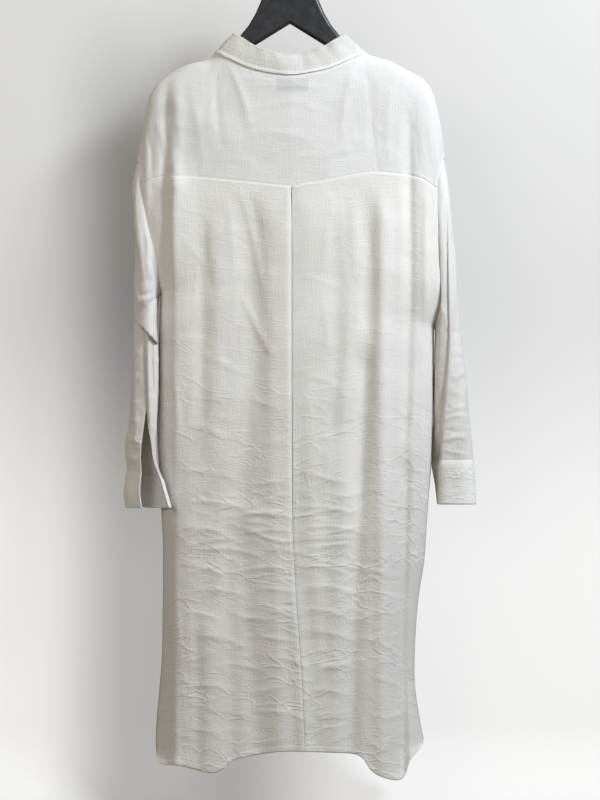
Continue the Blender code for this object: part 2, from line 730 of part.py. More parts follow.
def main():
    for thing in list(bpy.data.objects):
        bpy.data.objects.remove(thing)
    linen = material("linen", (0.80, 0.78, 0.72), 0.85)
    tape = material("label_tape", (0.72, 0.72, 0.72), 0.7)
    shell = material("button_shell", (0.86, 0.84, 0.78), 0.3)
    black = material("hanger_board", (0.02, 0.021, 0.024), 0.45)
    steel = material("hook_steel", (0.6, 0.6, 0.6), 0.3, 1.0)

    back = back_grid()
    edges = {-1: back[:, 0], 1: back[:, -1]}
    fronts = {side: front_grid(side, edges[side]) for side in (-1, 1)}
    yoke, cells = yoke_grid(back, fronts)
    sheets = [
        Sheet("back", back, WALL, linen),
        Sheet("front_left", fronts[-1][:, ::-1], WALL, linen),
        Sheet("front_right", fronts[1], WALL, linen),
        Sheet("yoke", yoke[::-1], WALL, linen, cells[::-1]),
    ]
    for side, name, table in ((-1, "left", SLEEVE_LEFT), (1, "right", SLEEVE_RIGHT)):
        under = UNDERARM_ROWS[side]
        column = 0 if side < 0 else -1
        loop = np.vstack(
            [
                edges[side][: under + 1][::-1],
                yoke[1:, column],
                fronts[side][1 : under + 1, 0],
            ]
        )
        points, joined = sleeve_grid(table, loop, under + YOKE_BACK_ROWS)
        if side < 0:
            points = points[:, ::-1]
        sheets.append(
            Sheet(f"sleeve_{name}", points[: SLEEVE_ROWS + 1], WALL, linen, joined=joined)
        )
        cuff = Sheet(
            f"cuff_{name}",
            points[SLEEVE_ROWS:],
            BAND,
            linen,
            joined=len(points) if joined == len(points) else 0,
        )
        sheets.append(cuff)

    neck = slice(NECK_COLUMN, yoke.shape[1] - NECK_COLUMN)
    base = np.vstack(
        [
            fronts[-1][0, NECK_COLUMN:][::-1],
            yoke[YOKE_BACK_ROWS:-1, NECK_COLUMN][::-1],
            yoke[YOKE_BACK_ROWS, neck][1:-1],
            yoke[YOKE_BACK_ROWS:-1, -NECK_COLUMN - 1],
            fronts[1][0, NECK_COLUMN:],
        ]
    )
    sheets.append(Sheet("collar", collar_grid(base)[::-1], BAND, linen))
    share_normals(sheets)
    for sheet in sheets:
        sheet.pull_back()
        sheet.build()

    left, right, top, low = LABEL_BOX
    x, z = np.meshgrid(np.linspace(left, right, 5), np.linspace(top, low, 3))
    label = on_body(x, z)
    label[..., 1] += (WALL + LABEL) / 2 + 0.5
    Sheet("neck_label", label, LABEL, tape).build()

    lift = WALL / 2 + 0.3
    for number, height in enumerate(FRONT_BUTTONS, 1):
        spot = on_body(np.array(0.0), np.array(float(height)), front=True)
        disc(f"button_{number}", spot + (0, lift, 0), (0, 1, 0), shell)
    spot = on_body(np.array(OPEN_BUTTON_X), np.array(float(OPEN_BUTTON)), front=True)
    spot[1] -= under_right(OPEN_BUTTON_X)
    disc("button_open", spot + (0, lift + 0.35, 0), (0.12, 1, 0.04), shell)
    ridges = {
        -1: along(SHOULDERS[-1][::-1], crowd(NECK_COLUMN, 0.2)),
        1: along(SHOULDERS[1][::-1], crowd(NECK_COLUMN, 0.2)),
    }
    verts, faces = board(ridges)
    add_mesh("hanger_board", verts * MM, faces, black)
    verts, faces = hook()
    add_mesh("hanger_hook", verts * MM, faces, steel)


main()
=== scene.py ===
"""The looks of the shirt dress on its hanger: linen cloth, stitching, buttons, light and camera.

The wearer faces +Y, so the photographed back faces -Y. The tables and the shape
functions are in millimetres, as in the part's own source, and the mesh helpers turn
them into metres.
"""

import math

import bpy
import numpy as np
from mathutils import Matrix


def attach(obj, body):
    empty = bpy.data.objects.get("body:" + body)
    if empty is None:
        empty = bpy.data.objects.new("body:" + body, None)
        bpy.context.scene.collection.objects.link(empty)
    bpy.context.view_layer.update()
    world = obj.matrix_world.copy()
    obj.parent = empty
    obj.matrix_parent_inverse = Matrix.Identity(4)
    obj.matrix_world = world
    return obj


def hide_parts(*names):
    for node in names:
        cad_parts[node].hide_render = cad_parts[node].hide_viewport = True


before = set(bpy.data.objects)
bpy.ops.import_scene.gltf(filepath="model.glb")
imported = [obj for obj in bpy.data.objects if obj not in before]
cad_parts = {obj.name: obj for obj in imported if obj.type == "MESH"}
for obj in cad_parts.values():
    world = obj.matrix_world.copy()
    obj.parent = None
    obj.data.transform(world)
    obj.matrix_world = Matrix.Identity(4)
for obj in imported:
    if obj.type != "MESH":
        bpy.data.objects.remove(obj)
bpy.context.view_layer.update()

MM = 0.001
WALL = 1.0  # body and sleeve cloth
BAND = 1.9  # doubled cloth of collar and cuffs
TAPE = 0.5  # neck label
LAYER = 3.0  # from one layer of the folded pleat to the next
OVERLAP = 14.0  # half the width by which one front covers the other
UNDER = 2.8  # how far the left front lies under the right one
BUTTON_BAND = 28.0  # width of the doubled band along each front's free edge
TURNED_SIDE = 9.0  # width of the cloth turned in along the side seams
CRISP = 0.7  # how narrow every crease is beside its width in the tables
SEAM_RIDGE = 0.35  # how far the pressed seam of the yoke stands out
SEAM_DROP = 0.9  # how far the yoke's very edge sinks back behind the back's top edge
SEAM_RISE = 0.45  # how far the back's top edge rises to meet it
HEM = 10.0  # height of the turned hem
HEM_THICK = 0.55  # how far the turned hem stands out
CALM_RIGHT = 0.75  # share of the creases' heights that is left on the right sleeve

# painted light: how much the camera sees the paper glow all over and more near the floor, and a
# painted shadow of the dress that makes it glow less at the left
PAPER_GLOW, PAPER_FLOOR_GLOW, PAPER_SHADOW = 0.455, 0.235, 0.33

# the point that the camera faces, its distance from the plane that is drawn at full size,
# and how far that plane lies before the hanger's
VIEW_X, VIEW_Z, VIEW_FAR, VIEW_NEAR = 15.0, -705.0, 2600.0, 14.0
FRAME_HIGH = 1200.0  # height of the photo's frame in that plane
SENSOR = 36.0

FRONT_BUTTONS = (-418, -508, -598, -688, -778, -868, -958, -1048)
OPEN_BUTTON = (-31.0, -334.0)
NECK_LABEL = (-19.5, 26.5, -228.0, -247.0)  # x at its sides, z at its top and bottom

# z, half depth of the back, half depth of the front, radius of the side
DEPTH = (
    (-150, 30, 26, 8),
    (-240, 36, 31, 8),
    (-320, 42, 36, 8),
    (-390, 46, 40, 9),
    (-545, 52, 46, 14),
    (-700, 58, 50, 22),
    (-900, 62, 54, 28),
    (-1290, 66, 58, 28),
)

# x, z along the shoulder, from the side of the neck to the sleeve head
SHOULDER_LEFT = (
    (-112, -183), (-121, -194.5), (-148, -201), (-171, -211), (-192, -225),
    (-203, -237), (-210, -250), (-214, -264), (-222.5, -313.5), (-229.5, -349.5),
)
SHOULDER_RIGHT = (
    (112, -183), (119, -188), (152, -198), (174, -210), (194, -220.5),
    (203, -228), (211, -239), (218, -259), (227, -300), (232, -345),
)

# x, z of the armhole seam, from the sleeve head to the underarm
ARMHOLE_LEFT = (
    (-229.5, -349.5), (-225, -357), (-222.5, -387), (-213, -439.5),
    (-199.5, -492), (-193.5, -544.5),
)
ARMHOLE_RIGHT = (
    (232, -345), (223.5, -353), (220.5, -385), (221, -440), (222, -496),
    (225, -549), (216, -594),
)

# x, z that the body would reach at the armhole if it had no sleeve
BULGE_LEFT = (
    (-229.5, -349.5), (-235, -380), (-235, -420), (-228, -460), (-215, -503),
    (-193.5, -544.5),
)
BULGE_RIGHT = (
    (232, -345), (239, -390), (246, -440), (248, -495), (244, -545),
    (216, -594),
)

# x, z of the side seam, from the underarm to the hem
SIDE_LEFT = (
    (-193.5, -544.5), (-195.5, -600), (-198, -660), (-199, -705), (-198.5, -760),
    (-196, -810), (-192.5, -870), (-190, -930), (-190.5, -1030), (-192, -1095),
    (-196, -1145), (-200, -1190), (-201, -1222.5),
)
SIDE_RIGHT = (
    (216, -594), (215.5, -640), (214.5, -710), (212, -790), (208.5, -840),
    (205, -885), (201, -945), (192, -1005), (187.5, -1065), (186.5, -1125),
    (192, -1170), (200, -1214),
)

# x, z of the seam between yoke and back
YOKE_SEAM = (
    (-222.8, -383), (-200, -373), (-163.5, -370.5), (-75, -378), (1.5, -385.5),
    (19.5, -381.6), (55.5, -376.5), (91.5, -369), (123, -364.5), (150, -366),
    (175.5, -369), (200, -376), (220.5, -390),
)

# x, z of the hem of the back, and of the hem of each front
HEM_BACK = (
    (-201, -1222.5), (-193.5, -1246.5), (-163.5, -1251), (-127.5, -1260),
    (-112.5, -1261.5), (-99, -1255.5), (-85.5, -1243.5), (-57, -1236),
    (-15, -1230), (25.5, -1230), (67.5, -1231.5), (94.5, -1233),
    (109.5, -1240.5), (120, -1257), (133.5, -1266), (153, -1272),
    (166.5, -1270.5), (174, -1260), (178.5, -1243.5), (192, -1227), (200, -1214),
)
HEM_FRONT = (
    (-201, -1222.5), (-180, -1232), (-120, -1234), (-60, -1224), (0, -1218),
    (60, -1222), (120, -1232), (180, -1226), (200, -1214),
)

# x, z of the seam between yoke and front, then of the neck seam to its end
FRONT_TOP_LEFT = (
    (-224, -372), (-213, -318), (-203, -279), (-188, -253), (-165, -237),
    (-145, -228), (-125, -220), (-104, -208), (-94, -232), (-76, -258),
    (-50, -280),
)
FRONT_TOP_RIGHT = (
    (221.5, -370), (213, -306), (206, -272), (190, -249), (168, -235),
    (147, -225), (126, -217), (104, -208), (94, -232), (76, -258), (50, -280),
)
NECK_CORNER = 104.0
NECK_END = (50.0, -280.0)
OPEN_BOTTOM = -404.0  # the neck is open down to here

# x, z of the neck seam at the back, from side to side
NECK_BACK = (
    (-112, -183), (-103, -189), (-87, -196), (-67.5, -205), (-45, -212),
    (0, -218.5), (45, -212), (67.5, -205), (87, -196), (103, -189), (112, -183),
)

# share of the band from its end to the centre back, then the way up it
COLLAR_UP = (
    (0.00, 16, 4, 25),
    (0.28, 22, 2, 24),
    (0.40, 26, 0, 26),
    (0.50, 28, 0, 28.5),
    (0.62, 20, 7, 30),
    (0.78, 9, 11, 30.5),
    (1.00, 0, 13, 29),
)

# z, x of the pleat's line, half width of the folded part
PLEAT = (
    (-380, 2.0, 31),
    (-700, 2.5, 31),
    (-900, 4.0, 30),
    (-1000, 9.0, 27),
    (-1120, 18.0, 22),
    (-1290, 25.0, 17),
)

# z at the top and bottom, x at the top, middle and bottom, width, height
FOLDS_BACK = (
    (-330, -1300, -170, -168, -165, 27, 9.0),
    (-200, -430, -170, -169, -168, 10, 4.0),
    (-300, -1300, -174, -172, -170, 8, 3.0),
    (-200, -560, -184, -187, -189, 8, -4.5),
    (-390, -900, -64, -54, -78, 22, -6.0),
    (-850, -1300, -78, -60, -44, 18, -5.0),
    (-390, -1300, -24, -22, -12, 15, 3.5),
    (-380, -640, 112, 115, 113, 15, -4.0),
    (-600, -1300, 110, 98, 88, 14, -11.0),
    (-380, -1300, 138, 138, 138, 12, 6.0),
    (-250, -800, 177, 179, 172, 8, -7.0),
    (-760, -1300, 174, 169, 168, 8, -9.0),
    (-360, -860, 203, 203, 197, 7, 4.0),
    (-1000, -1300, -127, -126, -124, 26, 6.0),
)
FOLDS_FRONT = (
    (-280, -640, -178, -172, -160, 12, -6.0),
    (-420, -1300, -140, -146, -138, 16, -7.0),
    (-400, -1300, -100, -96, -88, 18, 5.0),
    (-700, -1300, -62, -58, -64, 15, -5.0),
    (-300, -700, 176, 170, 158, 12, -6.0),
    (-420, -1300, 150, 144, 150, 15, -7.0),
    (-380, -1300, 104, 98, 104, 18, 5.0),
    (-760, -1300, 66, 62, 54, 15, -6.0),
)

# outer x, z, y and inner x, z, y of the sleeve, half depth, slit's two lips
SLEEVE_LEFT = (
    (-229.5, -349.5, 0, -193.5, -544.5, 0, 16, 0.42, 0.42),
    (-236.0, -385.0, -1, -197.5, -556, -1, 20, 0.42, 0.42),
    (-234.5, -428.0, -2, -199.0, -574, -5, 23, 0.42, 0.42),
    (-231.5, -478.0, -3, -199.0, -600, -11, 25, 0.42, 0.42),
    (-232.5, -535.0, -4, -196.5, -634, -18, 25, 0.42, 0.42),
    (-233.0, -592.0, -4, -196.5, -668, -23, 24, 0.42, 0.42),
    (-234.0, -645.0, -4, -197.0, -698, -27, 23, 0.42, 0.42),
    (-236.0, -700.0, -4, -198.5, -728, -31, 22, 0.42, 0.42),
    (-242.0, -752.0, -4, -200.5, -768, -35, 22, 0.46, 0.18),
    (-246.0, -775.0, -4, -199.0, -797, -38, 22, 0.50, 0.10),
    (-243.5, -812.0, -4, -190.5, -822, -43, 22, 0.59, 0.07),
    (-247.0, -842.0, -4, -184.5, -843, -47, 21, 0.62, 0.06),
    (-244.5, -866.0, -4, -178.0, -866, -50, 20, 0.64, 0.05),
)
SLEEVE_RIGHT = (
    (232.0, -345.0, 0, 216.0, -594, 0, 16, 0.42, 0.42),
    (239.5, -402.0, -1, 218.0, -604, 1, 22, 0.42, 0.42),
    (245.0, -462.0, -1, 217.5, -626, 2, 26, 0.42, 0.42),
    (249.5, -520.0, -1, 217.1, -650, 3, 28, 0.42, 0.42),
    (252.5, -575.0, -1, 216.8, -676, 4, 29, 0.42, 0.42),
    (258.5, -632.0, -2, 216.4, -703, 5, 29, 0.42, 0.42),
    (265.0, -692.0, -2, 215.9, -732, 6, 28, 0.42, 0.42),
    (270.5, -748.0, -3, 214.8, -766, 8, 28, 0.42, 0.42),
    (274.0, -796.5, -3, 214.2, -797, 10, 27, 0.42, 0.42),
    (275.5, -829.0, -3, 220.0, -832, 12, 27, 0.42, 0.42),
    (277.0, -861.0, -3, 223.0, -861, 8, 27, 0.42, 0.42),
)

# z, x of the edge that folds over the inner part of the right sleeve, and how far back
# that part lies
TUCK_RIGHT = (
    (-345, 233.0, 0.0),
    (-400, 235.0, 2.5),
    (-525, 236.5, 3.0),
    (-584, 237.6, 2.5),
    (-613, 238.0, 2.5),
    (-661, 235.5, 3.0),
    (-694, 232.5, 4.0),
    (-727, 229.8, 6.5),
    (-760, 227.0, 12.0),
    (-793, 225.0, 20.0),
    (-823, 224.0, 17.0),
    (-861, 224.0, 8.0),
)

# x, z of the corners of the flap at the left underarm: where it is pinned, then the two
# ends of its free edge
FLAP_LEFT = ((-194.5, -543.0), (-231.0, -586.0), (-201.0, -618.0))
FLAP_HIGH = 7.0

# z at the top and bottom, x at the top, middle and bottom, width, height: narrow folds
FINE_BACK = (
    (-270, -450, -213, -214, -214, 7, 4.0),
    (-392, -960, -6, -5, -3, 7, 2.2),
    (-392, -960, 14, 15, 13, 9, -1.8),
    (-960, -1300, 2, 14, 22, 9, 3.0),
    (-960, -1300, 22, 34, 42, 11, -3.0),
    (-400, -760, 100, 92, 84, 12, 1.8),
    (-420, -800, 68, 70, 62, 10, -1.6),
    (-800, -1300, 92, 96, 88, 14, 3.0),
    (-820, -1300, 60, 52, 56, 12, -2.2),
    (-400, -820, -112, -108, -118, 14, 2.2),
    (-420, -760, -134, -130, -132, 10, -2.0),
    (-860, -1300, -94, -88, -84, 13, -3.0),
    (-1000, -1300, -140, -136, -138, 10, -3.0),
    (-900, -1300, -176, -172, -170, 7, 2.5),
    (-560, -900, 120, 116, 104, 10, -1.8),
    (-640, -1000, 22, 30, 36, 10, 1.6),
    (-980, -1290, 176, 178, 184, 6, 3.0),
)

# x, z of a crease's two ends, how far its middle bows, width, height
CREASES_BACK = (
    (-75, -390, -38, -556, 3, 5.0, 1.9),
    (-69, -552, -24, -642, -3, 4.0, 2.2),
    (-58, -398, -44, -470, 2, 4.0, -1.3),
    (-96, -404, -84, -520, 4, 6.0, 1.3),
    (-128, -430, -112, -560, -4, 5.5, -1.3),
    (-30, -420, -26, -600, 2, 5.0, -1.2),
    (60, -396, 47, -500, 3, 5.0, 1.4),
    (84, -400, 96, -540, -4, 6.0, -1.4),
    (40, -520, 58, -640, 3, 5.0, 1.3),
    (112, -470, 102, -610, -3, 5.0, 1.2),
    (146, -420, 150, -520, 2, 4.5, 1.4),
    (-130, -640, -70, -668, 4, 4.5, 1.3),
    (-60, -700, -14, -716, -3, 4.0, 1.2),
    (20, -668, 80, -690, 4, 4.5, 1.3),
    (74, -734, 124, -716, -4, 4.0, 1.2),
    (-150, -742, -96, -764, 5, 4.5, 1.5),
    (-44, -770, 0, -760, -3, 4.0, 1.2),
    (-160, -812, -78, -824, 5, 4.5, 1.7),
    (-64, -836, 2, -828, 4, 4.0, 1.5),
    (14, -806, 88, -826, -5, 4.5, 1.4),
    (64, -850, 128, -834, -4, 4.0, 1.5),
    (-150, -858, -62, -872, 7, 4.2, 2.1),
    (-92, -884, -8, -874, 5, 4.0, 1.9),
    (14, -866, 104, -878, 6, 4.0, 1.8),
    (-158, -896, -84, -912, 6, 4.2, 2.2),
    (-70, -906, 4, -902, 5, 3.8, 2.0),
    (24, -896, 118, -908, 7, 4.0, 2.1),
    (-136, -930, -40, -940, 7, 4.0, 2.3),
    (-30, -928, 20, -936, 3, 3.6, 1.7),
    (26, -930, 96, -922, 5, 4.0, 2.0),
    (-162, -952, -96, -968, 5, 4.2, 2.2),
    (-84, -964, -4, -958, 6, 3.8, 2.2),
    (12, -954, 88, -966, 6, 4.0, 2.2),
    (90, -946, 150, -962, -4, 4.0, 1.8),
    (-146, -990, -60, -1000, 6, 4.2, 2.4),
    (-50, -988, 8, -994, 4, 3.8, 2.0),
    (18, -984, 112, -1000, 7, 4.2, 2.3),
    (-158, -1022, -104, -1034, 4, 4.0, 2.2),
    (-92, -1020, -20, -1032, -5, 4.2, 2.3),
    (22, -1018, 84, -1030, 5, 4.0, 2.2),
    (84, -1034, 140, -1020, -4, 4.0, 1.9),
    (-140, -1058, -66, -1074, 6, 4.6, 2.4),
    (-58, -1050, 12, -1064, -4, 4.4, 2.2),
    (30, -1052, 104, -1068, 6, 4.4, 2.3),
    (-160, -1094, -112, -1078, -4, 4.2, 2.2),
    (-104, -1100, -34, -1112, 5, 4.6, 2.4),
    (-22, -1090, 26, -1104, 4, 4.4, 2.0),
    (34, -1100, 110, -1090, -6, 4.6, 2.2),
    (-146, -1132, -78, -1144, 6, 4.8, 2.3),
    (-64, -1140, 0, -1128, -4, 4.6, 2.0),
    (28, -1138, 96, -1150, 5, 4.8, 2.2),
    (-120, -1168, -48, -1182, 5, 5.0, 2.2),
    (-40, -1172, 24, -1180, 4, 4.8, 1.9),
    (36, -1176, 92, -1166, -4, 4.8, 2.0),
    (-150, -1196, -96, -1210, 4, 5.0, 2.0),
    (132, -1066, 168, -1092, 3, 4.0, 2.0),
    (128, -1120, 170, -1140, 4, 4.0, 2.2),
    (136, -1180, 176, -1166, -3, 4.2, 2.2),
    (-168, -1006, -158, -1252, 3, 5.0, 3.0),
    (-178, -640, -166, -760, 2, 4.5, 2.0),
    (-184, -800, -168, -880, 2, 4.5, 2.2),
    (186, -700, 176, -800, -2, 4.5, 2.2),
    (-4, -883, 86, -868, 3, 2.4, 1.8),
    (-2, -910, 110, -892, -3, 2.4, 1.9),
    (16, -914, 116, -912, 2, 2.4, 1.6),
    (24, -936, 110, -958, -2, 2.4, 1.8),
    (-72, -874, 4, -880, 2, 2.4, 1.8),
    (-55, -901, 4, -918, -4, 2.4, 1.9),
    (-70, -886, -20, -895, 2, 2.4, 1.6),
    (-20, -1012, 10, -1012, 0, 2.4, -2.4),
    (-160, -925, -80, -912, 3, 2.6, 1.8),
    (-155, -962, -90, -945, -3, 2.6, 1.8),
)

# depth below the hook, share of the creases' heights that is left there
CALM_BACK = ((700, 0.9), (860, 0.62), (1000, 0.5), (1260, 0.5))
CREASES_YOKE = (
    (-92, -204, -60, -300, 5, 7.0, 2.0),
    (-110, -212, -100, -330, -4, 8.0, -2.0),
    (96, -206, 78, -320, -5, 7.0, 1.7),
    (116, -214, 122, -330, 4, 8.0, -1.8),
    (-150, -232, -132, -350, 4, 7.0, 1.8),
    (-176, -262, -170, -360, 2, 6.0, -2.0),
    (152, -236, 148, -352, -4, 7.0, 2.0),
    (182, -250, 190, -366, 3, 6.0, -2.4),
    (-40, -268, 34, -262, 4, 6.0, 0.9),
    (-66, -306, 30, -316, 5, 6.0, 1.0),
    (10, -340, 92, -330, -4, 6.0, 0.9),
    (-120, -346, -50, -352, 3, 5.0, 0.8),
    (-200, -286, -186, -340, 2, 5.0, 2.2),
    (-214, -300, -206, -366, 2, 4.5, -2.2),
    (204, -282, 212, -352, 2, 5.0, 2.0),
    (-70, -238, 62, -240, 3, 4.0, 0.7),
)
CREASES_FRONT = (
    (-150, -300, -104, -420, 6, 8.0, 2.2),
    (-96, -300, -60, -400, 5, 7.0, -1.8),
    (148, -300, 100, -420, -6, 8.0, 2.2),
    (92, -300, 58, -400, -5, 7.0, -1.8),
    (-120, -520, -30, -560, 6, 6.0, 1.6),
    (30, -530, 130, -570, 6, 6.0, 1.6),
    (-150, -640, -60, -668, 6, 5.0, 1.6),
    (34, -650, 120, -636, -6, 5.0, 1.5),
    (-160, -760, -64, -780, 7, 5.0, 1.8),
    (30, -770, 140, -790, 7, 5.0, 1.8),
    (-150, -842, -40, -860, 7, 4.6, 2.0),
    (26, -846, 120, -868, 7, 4.6, 2.0),
    (-160, -896, -70, -908, 6, 4.4, 2.2),
    (-60, -906, -18, -900, 4, 4.2, 1.8),
    (28, -900, 140, -914, 7, 4.4, 2.2),
    (-150, -944, -30, -958, 7, 4.4, 2.2),
    (34, -940, 96, -956, 6, 4.4, 2.0),
    (90, -958, 160, -942, -5, 4.4, 2.0),
    (-158, -996, -64, -1010, 6, 4.4, 2.3),
    (30, -990, 130, -1008, 7, 4.4, 2.3),
    (-140, -1044, -40, -1060, 6, 4.6, 2.2),
    (36, -1046, 150, -1062, 6, 4.6, 2.2),
    (-150, -1096, -60, -1110, 6, 4.8, 2.2),
    (28, -1100, 120, -1088, -6, 4.8, 2.1),
    (-120, -1148, -34, -1160, 5, 5.0, 2.0),
    (40, -1150, 130, -1164, 5, 5.0, 2.0),
)

# as CREASES_BACK, on the photographed side of each sleeve and of its cuff
CREASES_SLEEVE_LEFT = (
    (-195, -543, -226, -548, 2, 4.0, -3.2),
    (-196, -543, -230, -560, 2, 3.6, 3.0),
    (-196, -545, -230, -578, 3, 2.6, -3.6),
    (-196, -540, -212, -500, 3, 4.0, 2.4),
    (-199, -538, -204, -480, 2, 4.5, -2.2),
    (-216, -345, -213, -525, 1, 7.0, 4.5),
    (-219, -596, -212.5, -745, 1, 2.6, -5.5),
    (-230, -590, -228, -780, 1, 8.0, 7.0),
    (-211, -600, -208, -752, -1, 4.5, 3.6),
    (-203.5, -610, -202.5, -700, 0, 3.5, -4.5),
    (-246, -740, -222, -736, 2, 3.2, 2.2),
    (-247, -756, -222, -762, -3, 3.4, 2.6),
    (-248, -770, -221, -769, 3, 3.2, 3.0),
    (-247, -786, -222, -792, -3, 3.2, 2.6),
    (-246, -800, -224, -798, 3, 3.2, 2.0),
    (-236, -420, -226, -480, 2, 4.0, 1.6),
    (-234, -500, -224, -560, -2, 4.0, 1.6),
    (-236, -640, -222, -634, 2, 3.4, 1.2),
    (-236, -676, -220, -672, 2, 3.4, 1.3),
    (-238, -706, -220, -708, -2, 3.4, 1.3),
)
CREASES_SLEEVE_RIGHT = (
    (246, -420, 247, -600, 2, 6.0, 2.0),
    (228, -380, 230, -500, -2, 4.0, 1.4),
    (254, -560, 262, -700, 3, 6.0, 1.6),
    (262, -640, 271, -780, -2, 5.0, -1.4),
    (242, -645, 262, -642, 2, 3.0, -1.2),
    (236, -668, 264, -664, -2, 3.4, 1.3),
    (234, -694, 262, -700, 3, 3.4, 1.2),
    (238, -716, 268, -712, -2, 3.2, 1.6),
    (230, -734, 268, -729, 3, 3.0, 1.9),
    (230, -748, 262, -752, -2, 3.2, -1.3),
    (228, -766, 270, -762, 3, 3.0, 1.9),
    (232, -780, 266, -784, -2, 3.0, 1.5),
    (230, -820, 272, -814, 2, 3.4, 1.6),
    (228, -846, 262, -838, -3, 3.4, 2.0),
    (240, -850, 274, -846, 2, 3.0, -1.4),
    (222, -560, 234, -600, 3, 4.0, 1.6),
    (219, -585, 232, -560, -3, 4.0, 1.5),
    (240, -500, 250, -510, 3, 4.0, 1.0),
)


def smooth(points, steps=8):
    """Catmull-Rom curve: a cubic between each two points, whose slope at a point is
    half the chord from the point before it to the point after it."""
    p = np.array(points, float)
    p = np.vstack([2 * p[0] - p[1], p, 2 * p[-1] - p[-2]])
    t = np.linspace(0, 1, steps, endpoint=False)[:, None]
    spans = [
        b
        + 0.5 * t * (c - a)
        + t**2 * (a - 2.5 * b + 2 * c - 0.5 * d)
        + t**3 * (1.5 * (b - c) + 0.5 * (d - a))
        for a, b, c, d in zip(p[:-3], p[1:-2], p[2:-1], p[3:])
    ]
    return np.vstack([*spans, p[-2:-1]])


def at_z(curve, z):
    """x of a curve that runs downward, at heights z."""
    return np.interp(-z, -curve[:, 1], curve[:, 0])


def at_x(curve, x):
    """z of a curve that runs across, at places x."""
    rising = curve[np.argsort(curve[:, 0])]
    return np.interp(x, rising[:, 0], rising[:, 1])


def run_of(curve):
    """Length of a curve up to each of its points."""
    return np.r_[0, np.cumsum(np.linalg.norm(np.diff(curve, axis=0), axis=1))]


def along(curve, shares):
    """Points of a curve at shares of its length."""
    run = run_of(curve)
    where = np.asarray(shares) * run[-1]
    return np.column_stack([np.interp(where, run, c) for c in curve.T])


def soften(curve, times):
    """Moves each inner point halfway to the middle of its neighbours, some times over."""
    for _ in range(times):
        curve[1:-1] = 0.25 * curve[:-2] + 0.5 * curve[1:-1] + 0.25 * curve[2:]


def bell(away, width):
    """exp(-(d / w)^2): 1 at no distance, falling off over the width."""
    return np.exp(-((away / width) ** 2))


def eased(t):
    """0 to 1 with level ends: 3 t^2 - 2 t^3."""
    t = np.clip(t, 0, 1)
    return t * t * (3 - 2 * t)


SHOULDERS = {-1: smooth(SHOULDER_LEFT), 1: smooth(SHOULDER_RIGHT)}
ARMHOLES = {-1: smooth(ARMHOLE_LEFT), 1: smooth(ARMHOLE_RIGHT)}
BULGES = {-1: smooth(BULGE_LEFT), 1: smooth(BULGE_RIGHT)}
SIDES = {-1: smooth(SIDE_LEFT), 1: smooth(SIDE_RIGHT)}
EDGES = {side: np.vstack([ARMHOLES[side], SIDES[side][1:]]) for side in (-1, 1)}
YOKE_LINE, HEM_LINE, HEM_FRONT_LINE = smooth(YOKE_SEAM), smooth(HEM_BACK, 4), smooth(HEM_FRONT)
FRONT_TOPS = {-1: np.array(FRONT_TOP_LEFT, float), 1: np.array(FRONT_TOP_RIGHT, float)}
NECK = smooth(NECK_BACK)
OUTLINES = [
    np.vstack([SHOULDERS[side], BULGES[side][1:], SIDES[side][1:]]) for side in (-1, 1)
]


def from_edge(x, z):
    """Distance from (x, z) to the nearest span of the body's outline."""
    nearest = np.full(x.shape, 1e9)
    for line in OUTLINES:
        for (ax, az), (bx, bz) in zip(line[:-1], line[1:]):
            dx, dz = bx - ax, bz - az
            t = np.clip(((x - ax) * dx + (z - az) * dz) / (dx * dx + dz * dz), 0, 1)
            gap = (x - ax - t * dx) ** 2 + (z - az - t * dz) ** 2
            np.minimum(nearest, gap, out=nearest)
    return np.sqrt(nearest)


def folds(table, x, z):
    """Sum of long upright folds, each a bell curve across a bent line, faded at its ends."""
    total = np.zeros_like(x)
    for top, bottom, x0, x1, x2, width, height in table:
        middle = (top + bottom) / 2
        line = np.interp(-z, (-top, -middle, -bottom), (x0, x1, x2))
        fade = eased((top - z) / 60) * eased((z - bottom) / 60)
        total += height * fade * bell(x - line, width)
    return total


def creases(table, x, z):
    """Sum of short creases: a crisp ridge exp(-sqrt(d^2 + c)) across a bowed line, that
    swells from nothing at one end to its height and back at the other."""
    total = np.zeros_like(x)
    for x0, z0, x1, z1, bow, width, height in table:
        length = math.hypot(x1 - x0, z1 - z0)
        ux, uz = (x1 - x0) / length, (z1 - z0) / length
        t = ((x - x0) * ux + (z - z0) * uz) / length
        d = (z - z0) * ux - (x - x0) * uz - bow * 4 * t * (1 - t)
        swell = np.sqrt(np.clip(4 * t * (1 - t), 0, 1))
        total += height * swell * np.exp(0.35 - np.sqrt((d / (CRISP * width)) ** 2 + 0.12))
    return total


def scattered(seed, count, x_range, z_range, length, slope, width, height):
    """A table of small creases scattered evenly over a region, from a fixed seed: their
    middles fill a grid with jitter, and their slopes, lengths and heights vary."""
    chance = np.random.default_rng(seed)
    columns = max(1, int(round(math.sqrt(count))))
    rows = math.ceil(count / columns)
    across, down = np.meshgrid(np.arange(columns), np.arange(rows))
    x = (across.ravel() + chance.uniform(0, 1, across.size)) / columns
    z = (down.ravel() + chance.uniform(0, 1, down.size)) / rows
    x = x_range[0] + x * (x_range[1] - x_range[0])
    z = z_range[0] + z * (z_range[1] - z_range[0])
    turn = chance.normal(slope[0], slope[1], x.size)
    half = chance.uniform(*length, x.size) / 2
    sign = np.where(chance.uniform(size=x.size) < 0.7, 1, -0.8)
    return np.column_stack(
        [
            x - half * np.cos(turn),
            z - half * np.sin(turn),
            x + half * np.cos(turn),
            z + half * np.sin(turn),
            chance.normal(0, 3.0, x.size),
            chance.uniform(*width, x.size),
            chance.uniform(*height, x.size) * sign,
        ]
    )


